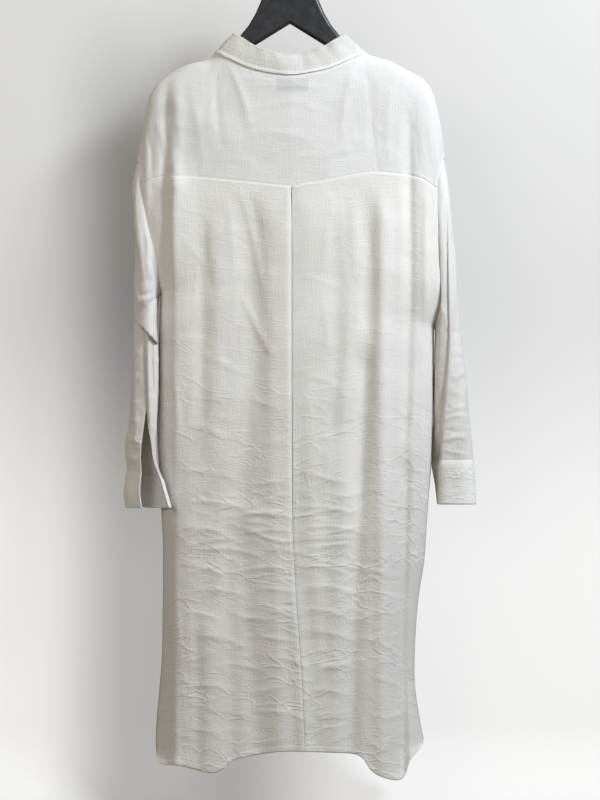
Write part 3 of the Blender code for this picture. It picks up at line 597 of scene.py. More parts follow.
# for each lot of small creases: seed, count, x, z, length, slope, width, height
SMALL_BACK = np.vstack([scattered(*lot) for lot in (
    (11, 120, (-190, 200), (-840, -1060), (26, 70), (0.0, 0.5), (2.2, 3.6), (0.5, 1.2)),
    (12, 90, (-190, 195), (-1040, -1250), (24, 64), (0.1, 0.6), (2.4, 4.2), (0.6, 1.3)),
    (13, 80, (-200, 210), (-400, -840), (26, 80), (0.0, 0.35), (2.4, 4.2), (0.25, 0.7)),
    (14, 40, (-190, 200), (-400, -900), (50, 120), (1.5, 0.2), (3.0, 5.0), (0.4, 0.9)),
)])
SMALL_FRONT = np.vstack([scattered(*lot) for lot in (
    (21, 110, (-190, 200), (-780, -1230), (26, 70), (0.0, 0.3), (2.4, 3.8), (0.5, 1.2)),
    (22, 80, (-200, 210), (-330, -800), (26, 80), (0.0, 0.4), (2.6, 4.4), (0.3, 0.8)),
)])
SMALL_YOKE = scattered(
    31, 50, (-210, 215), (-215, -380), (24, 60), (0.2, 0.9), (3.0, 5.0), (0.25, 0.6)
)
SMALL_SLEEVES = np.vstack([scattered(*lot) for lot in (
    (41, 60, (-248, -190), (-380, -815), (14, 30), (0.1, 0.5), (1.8, 3.0), (0.3, 0.8)),
    (42, 70, (215, 280), (-600, -850), (14, 34), (0.05, 0.35), (1.8, 3.0), (0.3, 0.9)),
)])


def depth(x, z, front, fine=True):
    """Distance from the hanger's plane: a rounded edge sqrt(1 - exp(-2 r d / h^2)) that
    rises to the half depth h with distance d from the outline, with folds and creases."""
    levels = np.array(DEPTH, float)
    reach = np.interp(-z, -levels[:, 0], levels[:, 2 if front else 1])
    radius = np.interp(-z, -levels[:, 0], levels[:, 3])
    edge = from_edge(x, z)
    round_off = np.sqrt(1 - np.exp(-2 * radius * edge / reach**2))
    inside = 1 - np.exp(-edge / 14)
    y = reach * round_off + folds(FOLDS_FRONT if front else FOLDS_BACK, x, z) * inside
    if fine and front:
        y += (creases(CREASES_FRONT, x, z) + creases(SMALL_FRONT, x, z)) * inside
    elif fine:
        y += folds(FINE_BACK, x, z) * inside
        calm = np.interp(-z, *np.array(CALM_BACK).T) * inside
        y += (creases(CREASES_BACK, x, z) + creases(SMALL_BACK, x, z)) * calm
        y += (creases(CREASES_YOKE, x, z) + creases(SMALL_YOKE, x, z)) * inside
    return y


def on_body(x, z, front=False, fine=True):
    """Points of the body at (x, z), on the front or on the back."""
    y = depth(x, z, front, fine) * (1 if front else -1)
    return np.stack([x, y, z], -1)


def drawn_in(p):
    """Moves what stands nearer the viewer to where it is seen in the photo."""
    near = 1 + np.minimum(0, p[..., 1] + VIEW_NEAR) / VIEW_FAR
    x = VIEW_X + (p[..., 0] - VIEW_X) * near
    z = VIEW_Z + (p[..., 2] - VIEW_Z) * near
    return np.stack([x, p[..., 1], z], -1)


def crowd(count, share=0.6):
    """0 to 1 in steps that are shorter at first: a cosine mixed with a straight line."""
    t = np.linspace(0, 1, count + 1)
    return share * (1 - np.cos(t * np.pi / 2)) + (1 - share) * t


def settle(first, last, top, low, shares, rows):
    """Grid of x and z between two upright curves and two curves across, found by
    turns: x from the upright curves at z, then z from the curves across at x."""
    z = np.repeat(-400 - 850 * rows[:, None], len(shares), axis=1)
    for _ in range(30):
        x = first(z) + (last(z) - first(z)) * shares
        z = top(x) + (low(x) - top(x)) * rows[:, None]
    return x, z


def normals_of(p):
    """Unit directions across a grid: the cross product of its steps down and across."""
    n = np.cross(np.gradient(p, axis=0), np.gradient(p, axis=1))
    return n / np.maximum(np.linalg.norm(n, axis=-1, keepdims=True), 1e-9)


def thread_map(p):
    """Cloth coordinates in metres: run across each row from its middle, and down each column."""
    across = np.linalg.norm(np.diff(p, axis=1), axis=-1)
    down = np.linalg.norm(np.diff(p, axis=0), axis=-1)
    u = np.concatenate([np.zeros((len(p), 1)), np.cumsum(across, axis=1)], axis=1)
    v = np.concatenate([np.zeros((1, p.shape[1])), np.cumsum(down, axis=0)], axis=0)
    u = u - u[:, p.shape[1] // 2][:, None]
    return np.stack([u, -v], -1) * MM


def add_cloth(
    name, p, thick, cloth_material, joined=None, cells=None, nodes=(), layers=0.0
):
    """A grid of points (rows down, columns across) as a mesh with thread coordinates,
    thickened to both sides. Columns past the first row of an opening may be joined.
    layers, 0 to 1 for each point, is how far turned cloth lies behind it; the linen paints a
    highlight there."""
    rows, columns = p.shape[:2]
    corner = np.arange(rows * columns).reshape(rows, columns)
    merged = corner.copy()
    if joined is not None:
        merged[:joined, -1] = merged[:joined, 0]
    keep = np.ones((rows - 1, columns - 1), bool) if cells is None else cells

    def quads(index):
        return np.stack([index[:-1, :-1], index[1:, :-1], index[1:, 1:], index[:-1, 1:]], -1)[keep]

    used, faces = np.unique(quads(merged), return_inverse=True)
    mesh = bpy.data.meshes.new(name)
    points = drawn_in(p).reshape(-1, 3)[used] * MM
    mesh.from_pydata(points.tolist(), [], faces.reshape(-1, 4).tolist())
    threads = thread_map(p).reshape(-1, 2)[quads(corner).reshape(-1)]
    mesh.uv_layers.new(name="threads").data.foreach_set("uv", threads.ravel())
    behind = np.broadcast_to(layers, (rows, columns)).reshape(-1)[used]
    mesh.attributes.new("layers", "FLOAT", "POINT").data.foreach_set("value", behind)
    piece = finish_piece(name, mesh, cloth_material, nodes)
    wall = piece.modifiers.new("wall", "SOLIDIFY")
    wall.thickness = thick * MM
    wall.offset = 0.0
    return piece


def finish_piece(name, mesh, used_material, nodes=()):
    """Puts a mesh in the scene as a smooth piece that rides on the dress's one body."""
    mesh.materials.append(used_material)
    mesh.polygons.foreach_set("use_smooth", [True] * len(mesh.polygons))
    piece = bpy.data.objects.new(name, mesh)
    bpy.context.scene.collection.objects.link(piece)
    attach(piece, "root")
    if nodes:
        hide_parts(*nodes)
    return piece


def pleat_path(turns=6, run=4):
    """Across the folded part of the back: place in half widths, step in mm, and layer.
    Each fold is a half circle, (1 - cos a) / 2 of a layer deep."""
    turn = np.linspace(0, np.pi, turns)
    bend, layer = np.sin(turn) * 1.5, (1 - np.cos(turn)) / 2

    def straight(first, last, level):
        u = np.linspace(first, last, run + 1)[1:-1]
        return np.column_stack([u, u * 0, u * 0 + level])

    def folded(u, step, level):
        return np.column_stack([u + bend * 0, step, level])

    return np.vstack(
        [
            straight(-1, 0, 0),
            folded(0, -2.9 + bend, layer),
            straight(0, -1, 1),
            folded(-1, -bend, 1 + layer),
            straight(-1, 1, 2),
            folded(1, bend, 2 - layer),
            straight(1, 0, 1),
            folded(0, 2.9 - bend, 1 - layer),
            straight(0, 1, 0),
        ]
    )


def pleat_line(z):
    """x of the pleat's line and half the width of its folded part, at heights z."""
    table = np.array(PLEAT, float)
    return [np.interp(-z, -table[:, 0], table[:, column]) for column in (1, 2)]


def hem_turn(z, low):
    """Half a millimetre more thickness over the turned hem, from a soft step."""
    return HEM_THICK * eased((low + HEM - z) / 2.5)


HALF_COLUMNS, BACK_ROWS = 52, 332

# depth below the hook, share of the pleat's open mouth; then of its sunk and raised edges
PLEAT_GAPE = ((380, 0.5), (470, 1.1), (700, 1.0), (830, 0.5), (960, 0.35), (1240, 0.3))
PLEAT_RELIEF = ((383, 0.2), (420, 1.0), (700, 1.0), (800, 0.55), (1240, 0.35))


def back_points():
    """The back: two halves between edge and pleat, and the folded path between them. The
    pleat's right edge sinks and its left one rises by bell curves of the distance from it."""
    rows = np.interp(np.linspace(0, 1, BACK_ROWS), (0, 0.36, 0.8, 1), (0, 0.5, 0.82, 1))
    ends = (lambda at: at_x(YOKE_LINE, at), lambda at: at_x(HEM_LINE, at))
    halves = []
    for side in (-1, 1):
        x, z = settle(
            lambda at, side=side: at_z(EDGES[side], at),
            lambda at, side=side: pleat_line(at)[0] + side * pleat_line(at)[1],
            *ends, crowd(HALF_COLUMNS, 0.4), rows,
        )
        halves.append((x, z))
    path = pleat_path()
    x, z = settle(
        lambda at: pleat_line(at)[0],
        lambda at: pleat_line(at)[0] + pleat_line(at)[1],
        *ends, path[:, 0], rows,
    )
    gape = np.interp(-z, *np.array(PLEAT_GAPE).T)
    x = x + path[:, 1] * np.where(path[:, 0] == 0, gape, 1)
    x = np.concatenate([halves[0][0], x, halves[1][0][:, ::-1]], axis=1)
    z = np.concatenate([halves[0][1], z, halves[1][1][:, ::-1]], axis=1)
    points = on_body(x, z)
    flat = np.zeros(HALF_COLUMNS + 1)
    layer = np.r_[flat, path[:, 2], flat]
    outer = np.clip(1 - layer, 0, 1)
    right = np.arange(len(layer)) > len(layer) // 2
    away = np.abs(x - pleat_line(z)[0])
    strength = np.interp(-z, *np.array(PLEAT_RELIEF).T)
    dip = 3.4 * bell(away, 6.5) * right
    lift = 1.7 * bell(away, 9.0) * ~right
    points[..., 1] += LAYER * layer + (dip - lift) * outer * strength
    points[..., 1] -= 2.4 * bell(away, 3.0) * (layer > 1.9)
    points[..., 1] -= hem_turn(z, at_x(HEM_LINE, x))
    points[..., 1] -= SEAM_RISE * eased((z - at_x(YOKE_LINE, x) + 4) / 3.0)
    return points


def back_layers(p):
    """Turned cloth behind the back, which the linen paints as a highlight: at the yoke, the
    armholes and sides, and the hem.
    """
    x, z = p[..., 0], p[..., 2]
    top = eased((z - at_x(YOKE_LINE, x) + 6) / 1.5)
    low = eased((at_x(HEM_LINE, x) + HEM - z) / 2.0)
    run = np.cumsum(np.linalg.norm(np.diff(p, axis=1), axis=-1), axis=1)
    run = np.concatenate([np.zeros((len(p), 1)), run], axis=1)
    side = eased((TURNED_SIDE - np.minimum(run, run[:, -1:] - run)) / 2.0)
    return np.maximum(np.maximum(top, low), side)


def front_free_edge(side):
    """x, z of a front's free edge: open at the neck, then straight down."""
    return np.array(
        [
            (side * NECK_END[0], NECK_END[1]),
            (side * 22.0, -334.0),
            (-side * 8.0, -380.0),
            (-side * OVERLAP, OPEN_BOTTOM),
            (-side * OVERLAP, -1300.0),
        ]
    )


def under_right(x):
    """How far the left front steps in to lie under the right one."""
    return UNDER * eased((x + 44) / 24)


def front_points(side):
    """One front, from the side seam to its free edge, with its doubled button band; and
    the layers behind it: the hem, the band and the turned side."""
    top_curve = FRONT_TOPS[side]
    free = front_free_edge(side)
    span = NECK_END[0] - abs(top_curve[0, 0])
    corner = (NECK_CORNER - abs(top_curve[0, 0])) / span
    shares = np.r_[crowd(38, 0.4) * corner, np.linspace(corner, 1, 35)[1:]]
    x, z = settle(
        lambda at: at_z(EDGES[side], np.minimum(at, top_curve[0, 1])),
        lambda at: at_z(free, at),
        lambda at: at_x(top_curve, at),
        lambda at: at_x(HEM_FRONT_LINE, at),
        shares,
        np.linspace(0, 1, 270),
    )
    points = on_body(x, z, front=True)
    band = eased((BUTTON_BAND - np.abs(x - at_z(free, z))) / 1.6)
    points[..., 1] += 0.5 * band
    points[..., 1] += hem_turn(z, at_x(HEM_FRONT_LINE, x))
    if side < 0:
        points[..., 1] -= under_right(x)
    low = eased((at_x(HEM_FRONT_LINE, x) + HEM - z) / 2.0)
    seam = at_z(EDGES[side], np.minimum(z, top_curve[0, 1]))
    edge = eased((TURNED_SIDE - np.abs(x - seam)) / 2.0)
    return points, np.maximum(np.maximum(low, band), edge)


def left_armhole_end():
    """x of the left armhole where the yoke's seam meets it."""
    armhole = ARMHOLES[-1]
    return armhole[np.searchsorted(-armhole[:, 1], -YOKE_SEAM[0][1])][0]


def yoke_points():
    """The yoke: columns fan from its seam on the back up to the shoulder's crest or the
    neck, and the shoulder columns go on down the front. Rows crowd at the crest. Its edge
    is a ridge sin(a)^0.7 that sinks back at the very seam. Also its cells without the
    neck's opening, and the layers behind it."""
    half, over, back_rows, front_rows = 72, 37, 62, 16
    middle, left_end, right_end = 2.0, left_armhole_end(), YOKE_SEAM[-1][0]
    left = left_end + (middle - left_end) * crowd(half)
    right = right_end + (middle - right_end) * crowd(half)
    base_x = np.r_[left[:-1], right[::-1]]
    base = np.column_stack([base_x, at_x(YOKE_LINE, base_x)])
    count = len(base)
    sleeve_ends = ((0, -1), (count - 1, 1))
    crest = np.zeros((count, 2))
    crest[: over + 1] = along(SHOULDERS[-1][::-1], crowd(over, 0.2))
    crest[-over - 1 :] = along(SHOULDERS[1][::-1], crowd(over, 0.2))[::-1]
    neck = count - 2 * over
    crest[over : over + neck] = along(NECK, np.linspace(0, 1, neck))
    at_seam = (1.009, 1.006, 1.003, 1.0, 0.997, 0.993, 0.988, 0.982)
    shares = np.r_[at_seam, np.linspace(0.974, 0, back_rows)][:, None, None]
    flat = crest + (base - crest) * shares**1.5
    for column, side in sleeve_ends:
        flat[:, column, 0] = at_z(ARMHOLES[side], flat[:, column, 1])
    back = on_body(flat[..., 0], flat[..., 1])
    above = np.abs(flat[0, :, 1] - flat[..., 1])
    back[..., 1] -= SEAM_RIDGE * np.sin(np.pi * np.clip((above + 0.7) / 8.0, 0, 1)) ** 0.7
    back[..., 1] += SEAM_DROP * eased((3.2 - above) / 3.0)
    seam = crest.copy()
    for side, part in ((-1, slice(0, over + 1)), (1, slice(count - 1, count - over - 2, -1))):
        top = FRONT_TOPS[side]
        x = top[0, 0] + (side * NECK_CORNER - top[0, 0]) * crowd(over, 0.4)
        seam[part] = np.column_stack([x, at_x(top, x)])
    steps = np.r_[np.arange(1, front_rows + 1) / front_rows, 1.03][:, None, None]
    flat = crest + (seam - crest) * steps**1.6
    for column, side in sleeve_ends:
        flat[:, column, 0] = at_z(ARMHOLES[side], flat[:, column, 1])
    front = on_body(flat[..., 0], flat[..., 1], front=True)
    front[-3:, :, 1] += SEAM_DROP
    cells = np.ones((len(back) + len(front) - 1, count - 1), bool)
    cells[len(back) - 1 :, over : count - 1 - over] = False
    seam_layers = eased((5 - above) / 1.5)
    across = np.minimum(np.arange(count), np.arange(count)[::-1])
    side_layers = np.broadcast_to(eased((5 - across) / 2.0), above.shape)
    neck_layers = eased((8 - np.linalg.norm(back - back[-1], axis=-1)) / 2.0)
    behind = np.maximum(np.maximum(seam_layers, side_layers), neck_layers * 0.7)
    behind = np.concatenate([behind, np.ones((len(front), count)) * 0.5])
    return np.concatenate([back, front]), cells, behind


def armhole_loop(side, count=76):
    """The armhole seam from the underarm up the back and down the front."""
    up = along(ARMHOLES[side][::-1], np.linspace(0, 1, count + 1))
    back = on_body(up[:, 0], up[:, 1])
    front = on_body(up[::-1, 0], up[::-1, 1], front=True)
    return np.vstack([back, front[1:]]), count


def tucked(p, near, bow):
    """How far the near wall of the right sleeve steps back inside the edge that folds over
    it, less how far it rises outside, by a bell curve 13 mm wide."""
    table = np.array(TUCK_RIGHT, float)
    edge, back = (np.interp(-p[..., 2], -table[:, 0], table[:, k]) for k in (1, 2))
    inside = eased((edge - p[..., 0]) / 2.2 + 0.5) * near * np.minimum(1, bow / 0.6)
    raised = (1.6 + 0.15 * back) * bell(p[..., 0] - edge, 13) * np.minimum(1, back / 2.5)
    return back * inside - raised * near * (1 - inside)


def flap(p, near):
    """A triangle of cloth that stands out from nothing at its pinned corner to its full
    height at its free edge, by the shares b and c that its two free corners have."""
    corners = np.array(FLAP_LEFT)
    across, down = corners[1] - corners[0], corners[2] - corners[0]
    area = across[0] * down[1] - across[1] * down[0]
    x, z = p[..., 0] - corners[0, 0], p[..., 2] - corners[0, 1]
    b = (x * down[1] - z * down[0]) / area
    c = (across[0] * z - across[1] * x) / area
    within = eased(np.minimum(1 - b - c, c) / 0.05 + 1.0) * (b > -0.1) * (c > -0.05)
    rise = (b + c) * (0.3 + 0.7 * eased(c / 0.3))
    return -FLAP_HIGH * np.clip(rise, 0, 1) * np.where(b + c < 1.0, within, 0) * near


def sleeve_points(table, side, fine_table, rows=168, cuff_rows=24):
    """A sleeve and its cuff: rings between an outer and an inner line, bowed like
    (1 - (2 f - 1)^2)^0.4 across, that start as the armhole seam and split at the slit.
    The inner half of the right sleeve's near side is flatter, with 0.17 for 0.4."""
    levels = np.array(table, float)
    seam_row = len(levels) - 3
    loop, turn = armhole_loop(side)
    t = np.r_[
        np.linspace(0, seam_row, rows + 1),
        np.linspace(seam_row, len(levels) - 1, cuff_rows + 1)[1:],
    ]
    fine = smooth(levels, 16)
    level = np.array([np.interp(t * 16, np.arange(len(fine)), c) for c in fine.T]).T
    outer, inner = level[:, None, :3], level[:, None, 3:6]
    reach, lip_out, lip_in = (level[:, None, k] for k in (6, 7, 8))
    run = run_of(loop)
    front = np.arange(len(loop)) > turn
    share = np.where(front, (run[-1] - run) / (run[-1] - run[turn]), run / run[turn])
    share = (1 - np.cos(np.pi * np.clip(share, 0, 1))) / 2
    slit = int(np.argmin(np.abs(np.where(front, np.inf, share) - levels[0, 7])))
    order = np.r_[slit : len(loop) - 1, 0 : slit + 1]
    last = np.arange(len(order)) >= len(loop) - 1 - slit
    near = ~front[order]
    f = share[order]
    outer_lip = 1 - (1 - f) * (1 - lip_out) / (1 - share[slit])
    parted = np.where(last, f * lip_in / share[slit], outer_lip)
    across = f + (parted - f) * near * eased(np.abs(lip_out - lip_in) / 0.02)
    flatter = (side > 0) & (across < 0.5) & near
    bow = np.maximum(0, 1 - (2 * across - 1) ** 2) ** np.where(flatter, 0.17, 0.4)
    points = inner + (outer - inner) * across[..., None]
    points = points[..., [0, 2, 1]]
    points[..., 1] += reach * bow * np.where(near, -1, 1)
    fade = 1 - eased(t / 4.0)[:, None, None]
    points += (loop[order] - points[0]) * fade
    points[..., 1] += flap(points, near) if side < 0 else tucked(points, near, bow)
    if side < 0:
        points = points[:, ::-1]
    out = normals_of(points)
    x, z = points[..., 0], points[..., 2]
    seen = np.sqrt(np.clip(-out[..., 1], 0, 1))
    hidden = np.sqrt(np.clip(out[..., 1], 0, 1))
    settled = eased(t / 0.8)[:, None]
    height = creases(fine_table, x, z) * seen * (CALM_RIGHT if side > 0 else 1)
    height += creases(SMALL_SLEEVES, x, z) * 0.8 + creases(SMALL_SLEEVES, x + 9, z + 13) * hidden
    height *= settled * np.where(t < seam_row, 1, 0.35)[:, None]
    points += out * height[..., None]
    opened = np.abs(level[:, 7] - level[:, 8]) > 0.004
    joined = int(np.argmax(opened)) if opened.any() else len(t)
    return points, joined, rows


def collar_base():
    """The neck seam: up one front, over the side of the neck, across the back, and down."""
    parts = []
    for side in (-1, 1):
        x = np.linspace(side * NECK_END[0], side * NECK_CORNER, 30)
        rise = np.column_stack([x, at_x(FRONT_TOPS[side], x)])
        turn = np.linspace(rise[-1], (side * 112.0, -183.0), 12)[1:]
        flat = np.vstack([rise, turn])
        parts.append(on_body(flat[:, 0], flat[:, 1], front=True, fine=False))
    over = along(NECK, np.linspace(0, 1, 100))[1:-1]
    back = on_body(over[:, 0], over[:, 1], fine=False)
    return np.vstack([parts[0], back, parts[1][::-1]])


def collar_points():
    """The band: from the neck seam up along a direction that changes round the neck,
    bulging by a sine with ripples and a bell for the piping, with its front corners
    rounded off; and the layers behind its seam."""
    base = collar_base()
    soften(base, 3)
    run = run_of(base)
    share = run / run[-1] * 2
    side = np.where(share > 1, -1, 1)
    share = np.where(share > 1, 2 - share, share)
    table = np.array(COLLAR_UP, float)
    up = np.column_stack([np.interp(share, table[:, 0], c) for c in table[:, 1:].T])
    soften(up, 6)
    up[:, 0] *= side
    left = 1 - eased((run / run[-1] - 0.44) / 0.14)
    up[:, 1] *= 1 - 0.85 * left
    from_end = np.minimum(run, run[-1] - run)
    corner = 9.0
    height = 1 - 0.3 * (1 - np.sqrt(1 - np.clip((corner - from_end) / corner, 0, 1) ** 2))
    steps = np.r_[-0.05, 0.0, 0.04, 0.08, 0.13, np.linspace(0.2, 1, 16)][:, None, None]
    points = base + up * height[:, None] * steps
    points = points[::-1]
    out = normals_of(points)
    rise = np.clip(steps[::-1, :, 0], 0, 1)
    ripple = 1.1 * np.sin(run / 17.0 + 1.8 * rise) + 0.8 * np.sin(run / 7.3 - 2.4 * rise + 1.0)
    ripple = ripple + 0.5 * np.sin(run / 4.1 + 3.0 * rise)
    bulge = 0.3 + 1.2 * np.sin(np.pi * rise) + 1.3 * bell(rise - 0.02, 0.06)
    bulge = bulge + (0.5 + 0.6 * left[::-1]) * ripple * np.sqrt(rise)
    # the layers at the seam paint a bright line along it, a painted highlight
    return points + out * bulge[..., None], 3.0 * eased((0.1 - rise) / 0.05)


def lines_on(p, row=None, column=None, lift=0.7):
    """A line of a grid and its outward directions, lifted off the cloth's middle."""
    out = normals_of(p)
    pick = (row, slice(None)) if row is not None else (slice(None), column)
    return drawn_in(p[pick] + out[pick] * lift), out[pick]


def stitches(name, lines, thread, pitch=3.0, length=2.2, thick=0.42):
    """Rows of short stitches: at even steps along each line a six-sided spindle lies
    along the line, thinner at its ends; all are one mesh made from arrays."""
    angle = np.arange(6) * np.pi / 3
    profile = np.array([(-0.5, 0.35), (-0.3, 1.0), (0.3, 1.0), (0.5, 0.35)])
    verts, faces, total = [], [], 0
    for path, out in lines:
        run = run_of(path)
        where = np.arange(pitch, run[-1] - pitch, pitch)
        centre = np.column_stack([np.interp(where, run, c) for c in path.T])
        ahead = np.column_stack([np.interp(where + 0.5, run, c) for c in path.T]) - centre
        ahead /= np.linalg.norm(ahead, axis=1)[:, None]
        up = np.column_stack([np.interp(where, run, c) for c in out.T])
        side = np.cross(ahead, up)
        side /= np.linalg.norm(side, axis=1)[:, None]
        up = np.cross(side, ahead)
        ring = (
            side[:, None] * np.cos(angle)[:, None] + up[:, None] * np.sin(angle)[:, None]
        )[:, None] * (profile[:, 1] * thick / 2)[:, None, None]
        shift = ahead[:, None, None] * (profile[:, 0] * length)[:, None, None]
        verts.append((centre[:, None, None] + shift + ring).reshape(-1, 3))
        first = total + np.arange(len(where))[:, None, None] * 24
        ring_at = np.arange(3)[:, None] * 6
        k = np.arange(6)
        sides = np.stack(
            [ring_at + k, ring_at + (k + 1) % 6, ring_at + 6 + (k + 1) % 6, ring_at + 6 + k], -1
        )
        faces += (first[..., None] + sides).reshape(-1, 4).tolist()
        caps = np.array([k[::-1], 18 + k])
        faces += (first + caps).reshape(-1, 6).tolist()
        total += len(where) * 24
    mesh = bpy.data.meshes.new(name)
    mesh.from_pydata((np.vstack(verts) * MM).tolist(), [], faces)
    return finish_piece(name, mesh, thread)


def turned_frame(facing):
    """Three square directions, the last along facing."""
    facing = np.asarray(facing, float) / np.linalg.norm(facing)
    side = np.cross(facing, (0.0, 0.0, 1.0))
    side /= np.linalg.norm(side)
    return side, np.cross(side, facing), facing


def button(name, centre, facing, node, shell):
    """A four-hole button: a turned profile whose face dips to a dish, with four small
    hollows exp(-(d / 0.62)^4); and the lines of two stitches of thread across them."""
    side, up, ahead = turned_frame(facing)
    radius = np.r_[0.3, np.linspace(0.6, 4.0, 18), 4.4, 4.8, 5.2, 5.45, 5.5, 5.45, 5.1, 3.0, 0.4]
    level = np.r_[1.72, np.full(18, 1.72), 1.95, 2.2, 2.32, 2.05, 1.4, 0.5, 0.1, 0.0, 0.0]
    turn = np.arange(48) * 2 * np.pi / 48
    x, y = np.outer(radius, np.cos(turn)), np.outer(radius, np.sin(turn))
    height = np.repeat(level[:, None], 48, axis=1)
    hole = 1.15
    for sx in (-hole, hole):
        for sy in (-hole, hole):
            hollow = 1.1 * np.exp(-((np.hypot(x - sx, y - sy) / 0.62) ** 4))
            height -= np.where(np.arange(len(radius))[:, None] < 20, hollow, 0)
    p = centre + side * x[..., None] + up * y[..., None] + ahead * height[..., None]
    index = np.arange(p.shape[0] * 48).reshape(-1, 48)
    after = np.roll(index, -1, axis=1)
    faces = np.stack([index[:-1], index[1:], after[1:], after[:-1]], -1).reshape(-1, 4).tolist()
    faces += [index[0].tolist(), index[-1][::-1].tolist()]
    mesh = bpy.data.meshes.new(name)
    mesh.from_pydata((p.reshape(-1, 3) * MM).tolist(), [], faces)
    finish_piece(name, mesh, shell, (node,))
    lines = []
    for s in (-hole, hole):
        middle = centre + side * s + ahead * 1.85
        path = np.linspace(middle - up * 3.55, middle + up * 3.55, 20)
        lines.append((path, np.tile(ahead, (20, 1))))
    return lines


def group_tree(name, inputs, outputs):
    """An empty shader node group with these named float or vector inputs and outputs."""
    tree = bpy.data.node_groups.new(name, "ShaderNodeTree")
    for label, kind, value in inputs:
        made = tree.interface.new_socket(name=label, in_out="INPUT", socket_type=kind)
        if value is not None:
            made.default_value = value
    for label, kind in outputs:
        tree.interface.new_socket(name=label, in_out="OUTPUT", socket_type=kind)
    return tree, tree.nodes.new("NodeGroupInput"), tree.nodes.new("NodeGroupOutput")


def put(tree, kind, settings=None, **sockets):
    """Adds a node, sets its properties, and sets or links its inputs by name."""
    made = tree.nodes.new(kind)
    for key, value in (settings or {}).items():
        setattr(made, key, value)
    for key, value in sockets.items():
        numbered = key[0] == "i" and key[1:].isdigit()
        target = made.inputs[int(key[1:]) if numbered else key.replace("_", " ")]
        if isinstance(value, bpy.types.NodeSocket):
            tree.links.new(value, target)
        else:
            target.default_value = value
    return made


def maths(tree, what, a, b=0.0):
    """One step of arithmetic on one or two values."""
    return put(tree, "ShaderNodeMath", {"operation": what}, i0=a, i1=b).outputs[0]


def remap(tree, value, low, high, to_low=0.0, to_high=1.0):
    """A smooth step from to_low at low to to_high at high."""
    node = put(
        tree, "ShaderNodeMapRange", {"interpolation_type": "SMOOTHSTEP"},
        Value=value, From_Min=low, From_Max=high, To_Min=to_low, To_Max=to_high,
    )
    return node.outputs[0]


def drawn_out(tree, threads, scale, shift=(0.0, 0.0, 0.0)):
    """Thread coordinates scaled and shifted, so that a pattern is drawn out along a thread."""
    return put(tree, "ShaderNodeMapping", Vector=threads, Scale=scale, Location=shift).outputs[0]


def flat_noise(tree, vector, scale, detail, roughness=0.5):
    """Noise over two coordinates."""
    return put(
        tree, "ShaderNodeTexNoise", {"noise_dimensions": "2D"},
        Vector=vector, Scale=scale, Detail=detail, Roughness=roughness,
    )


def blend(tree, factor, first, second, kind="MIX"):
    """A mix of two colours, each three numbers or a socket."""
    colours = [c if isinstance(c, bpy.types.NodeSocket) else (*c, 1.0) for c in (first, second)]
    settings = {"data_type": "RGBA", "blend_type": kind}
    mixed = put(tree, "ShaderNodeMix", settings, Factor=factor, i6=colours[0], i7=colours[1])
    return mixed.outputs[2]


def streaks(tree, threads, scale, low, high, seed, detail=2.0):
    """Slubs: noise drawn out along one thread direction and cut to its high parts."""
    drawn = drawn_out(tree, threads, scale, (seed, seed * 0.7, 0.0))
    noise = flat_noise(tree, drawn, 1.0, detail, 0.55)
    return remap(tree, noise.outputs[0], low, high)


def fine_creases(tree, threads):
    """Crumpling: cell borders of two sizes, bent by noise and drawn out across the cloth,
    where only the nearest tenth beside a border rises."""
    total = None
    for scale, weight, seed in (((20.0, 44.0, 1.0), 1.0, 2.0), ((46.0, 96.0, 1.0), 0.5, 9.0)):
        drawn = drawn_out(tree, threads, scale, (seed, seed, 0.0))
        bend = flat_noise(tree, drawn, 0.8, 1.0)
        moved = put(
            tree, "ShaderNodeVectorMath", {"operation": "MULTIPLY_ADD"},
            i0=bend.outputs["Color"], i1=(1.6, 1.6, 0.0), i2=drawn,
        )
        border = {"voronoi_dimensions": "2D", "feature": "DISTANCE_TO_EDGE"}
        cells = put(tree, "ShaderNodeTexVoronoi", border, Vector=moved.outputs[0], Scale=1.0)
        ridge = remap(tree, cells.outputs["Distance"], 0.16, 0.0)
        gate = flat_noise(tree, drawn, 0.45, 0.0)
        ridge = maths(tree, "MULTIPLY", ridge, remap(tree, gate.outputs[0], 0.42, 0.62))
        part = maths(tree, "MULTIPLY", ridge, weight)
        total = part if total is None else maths(tree, "ADD", total, part)
    return total


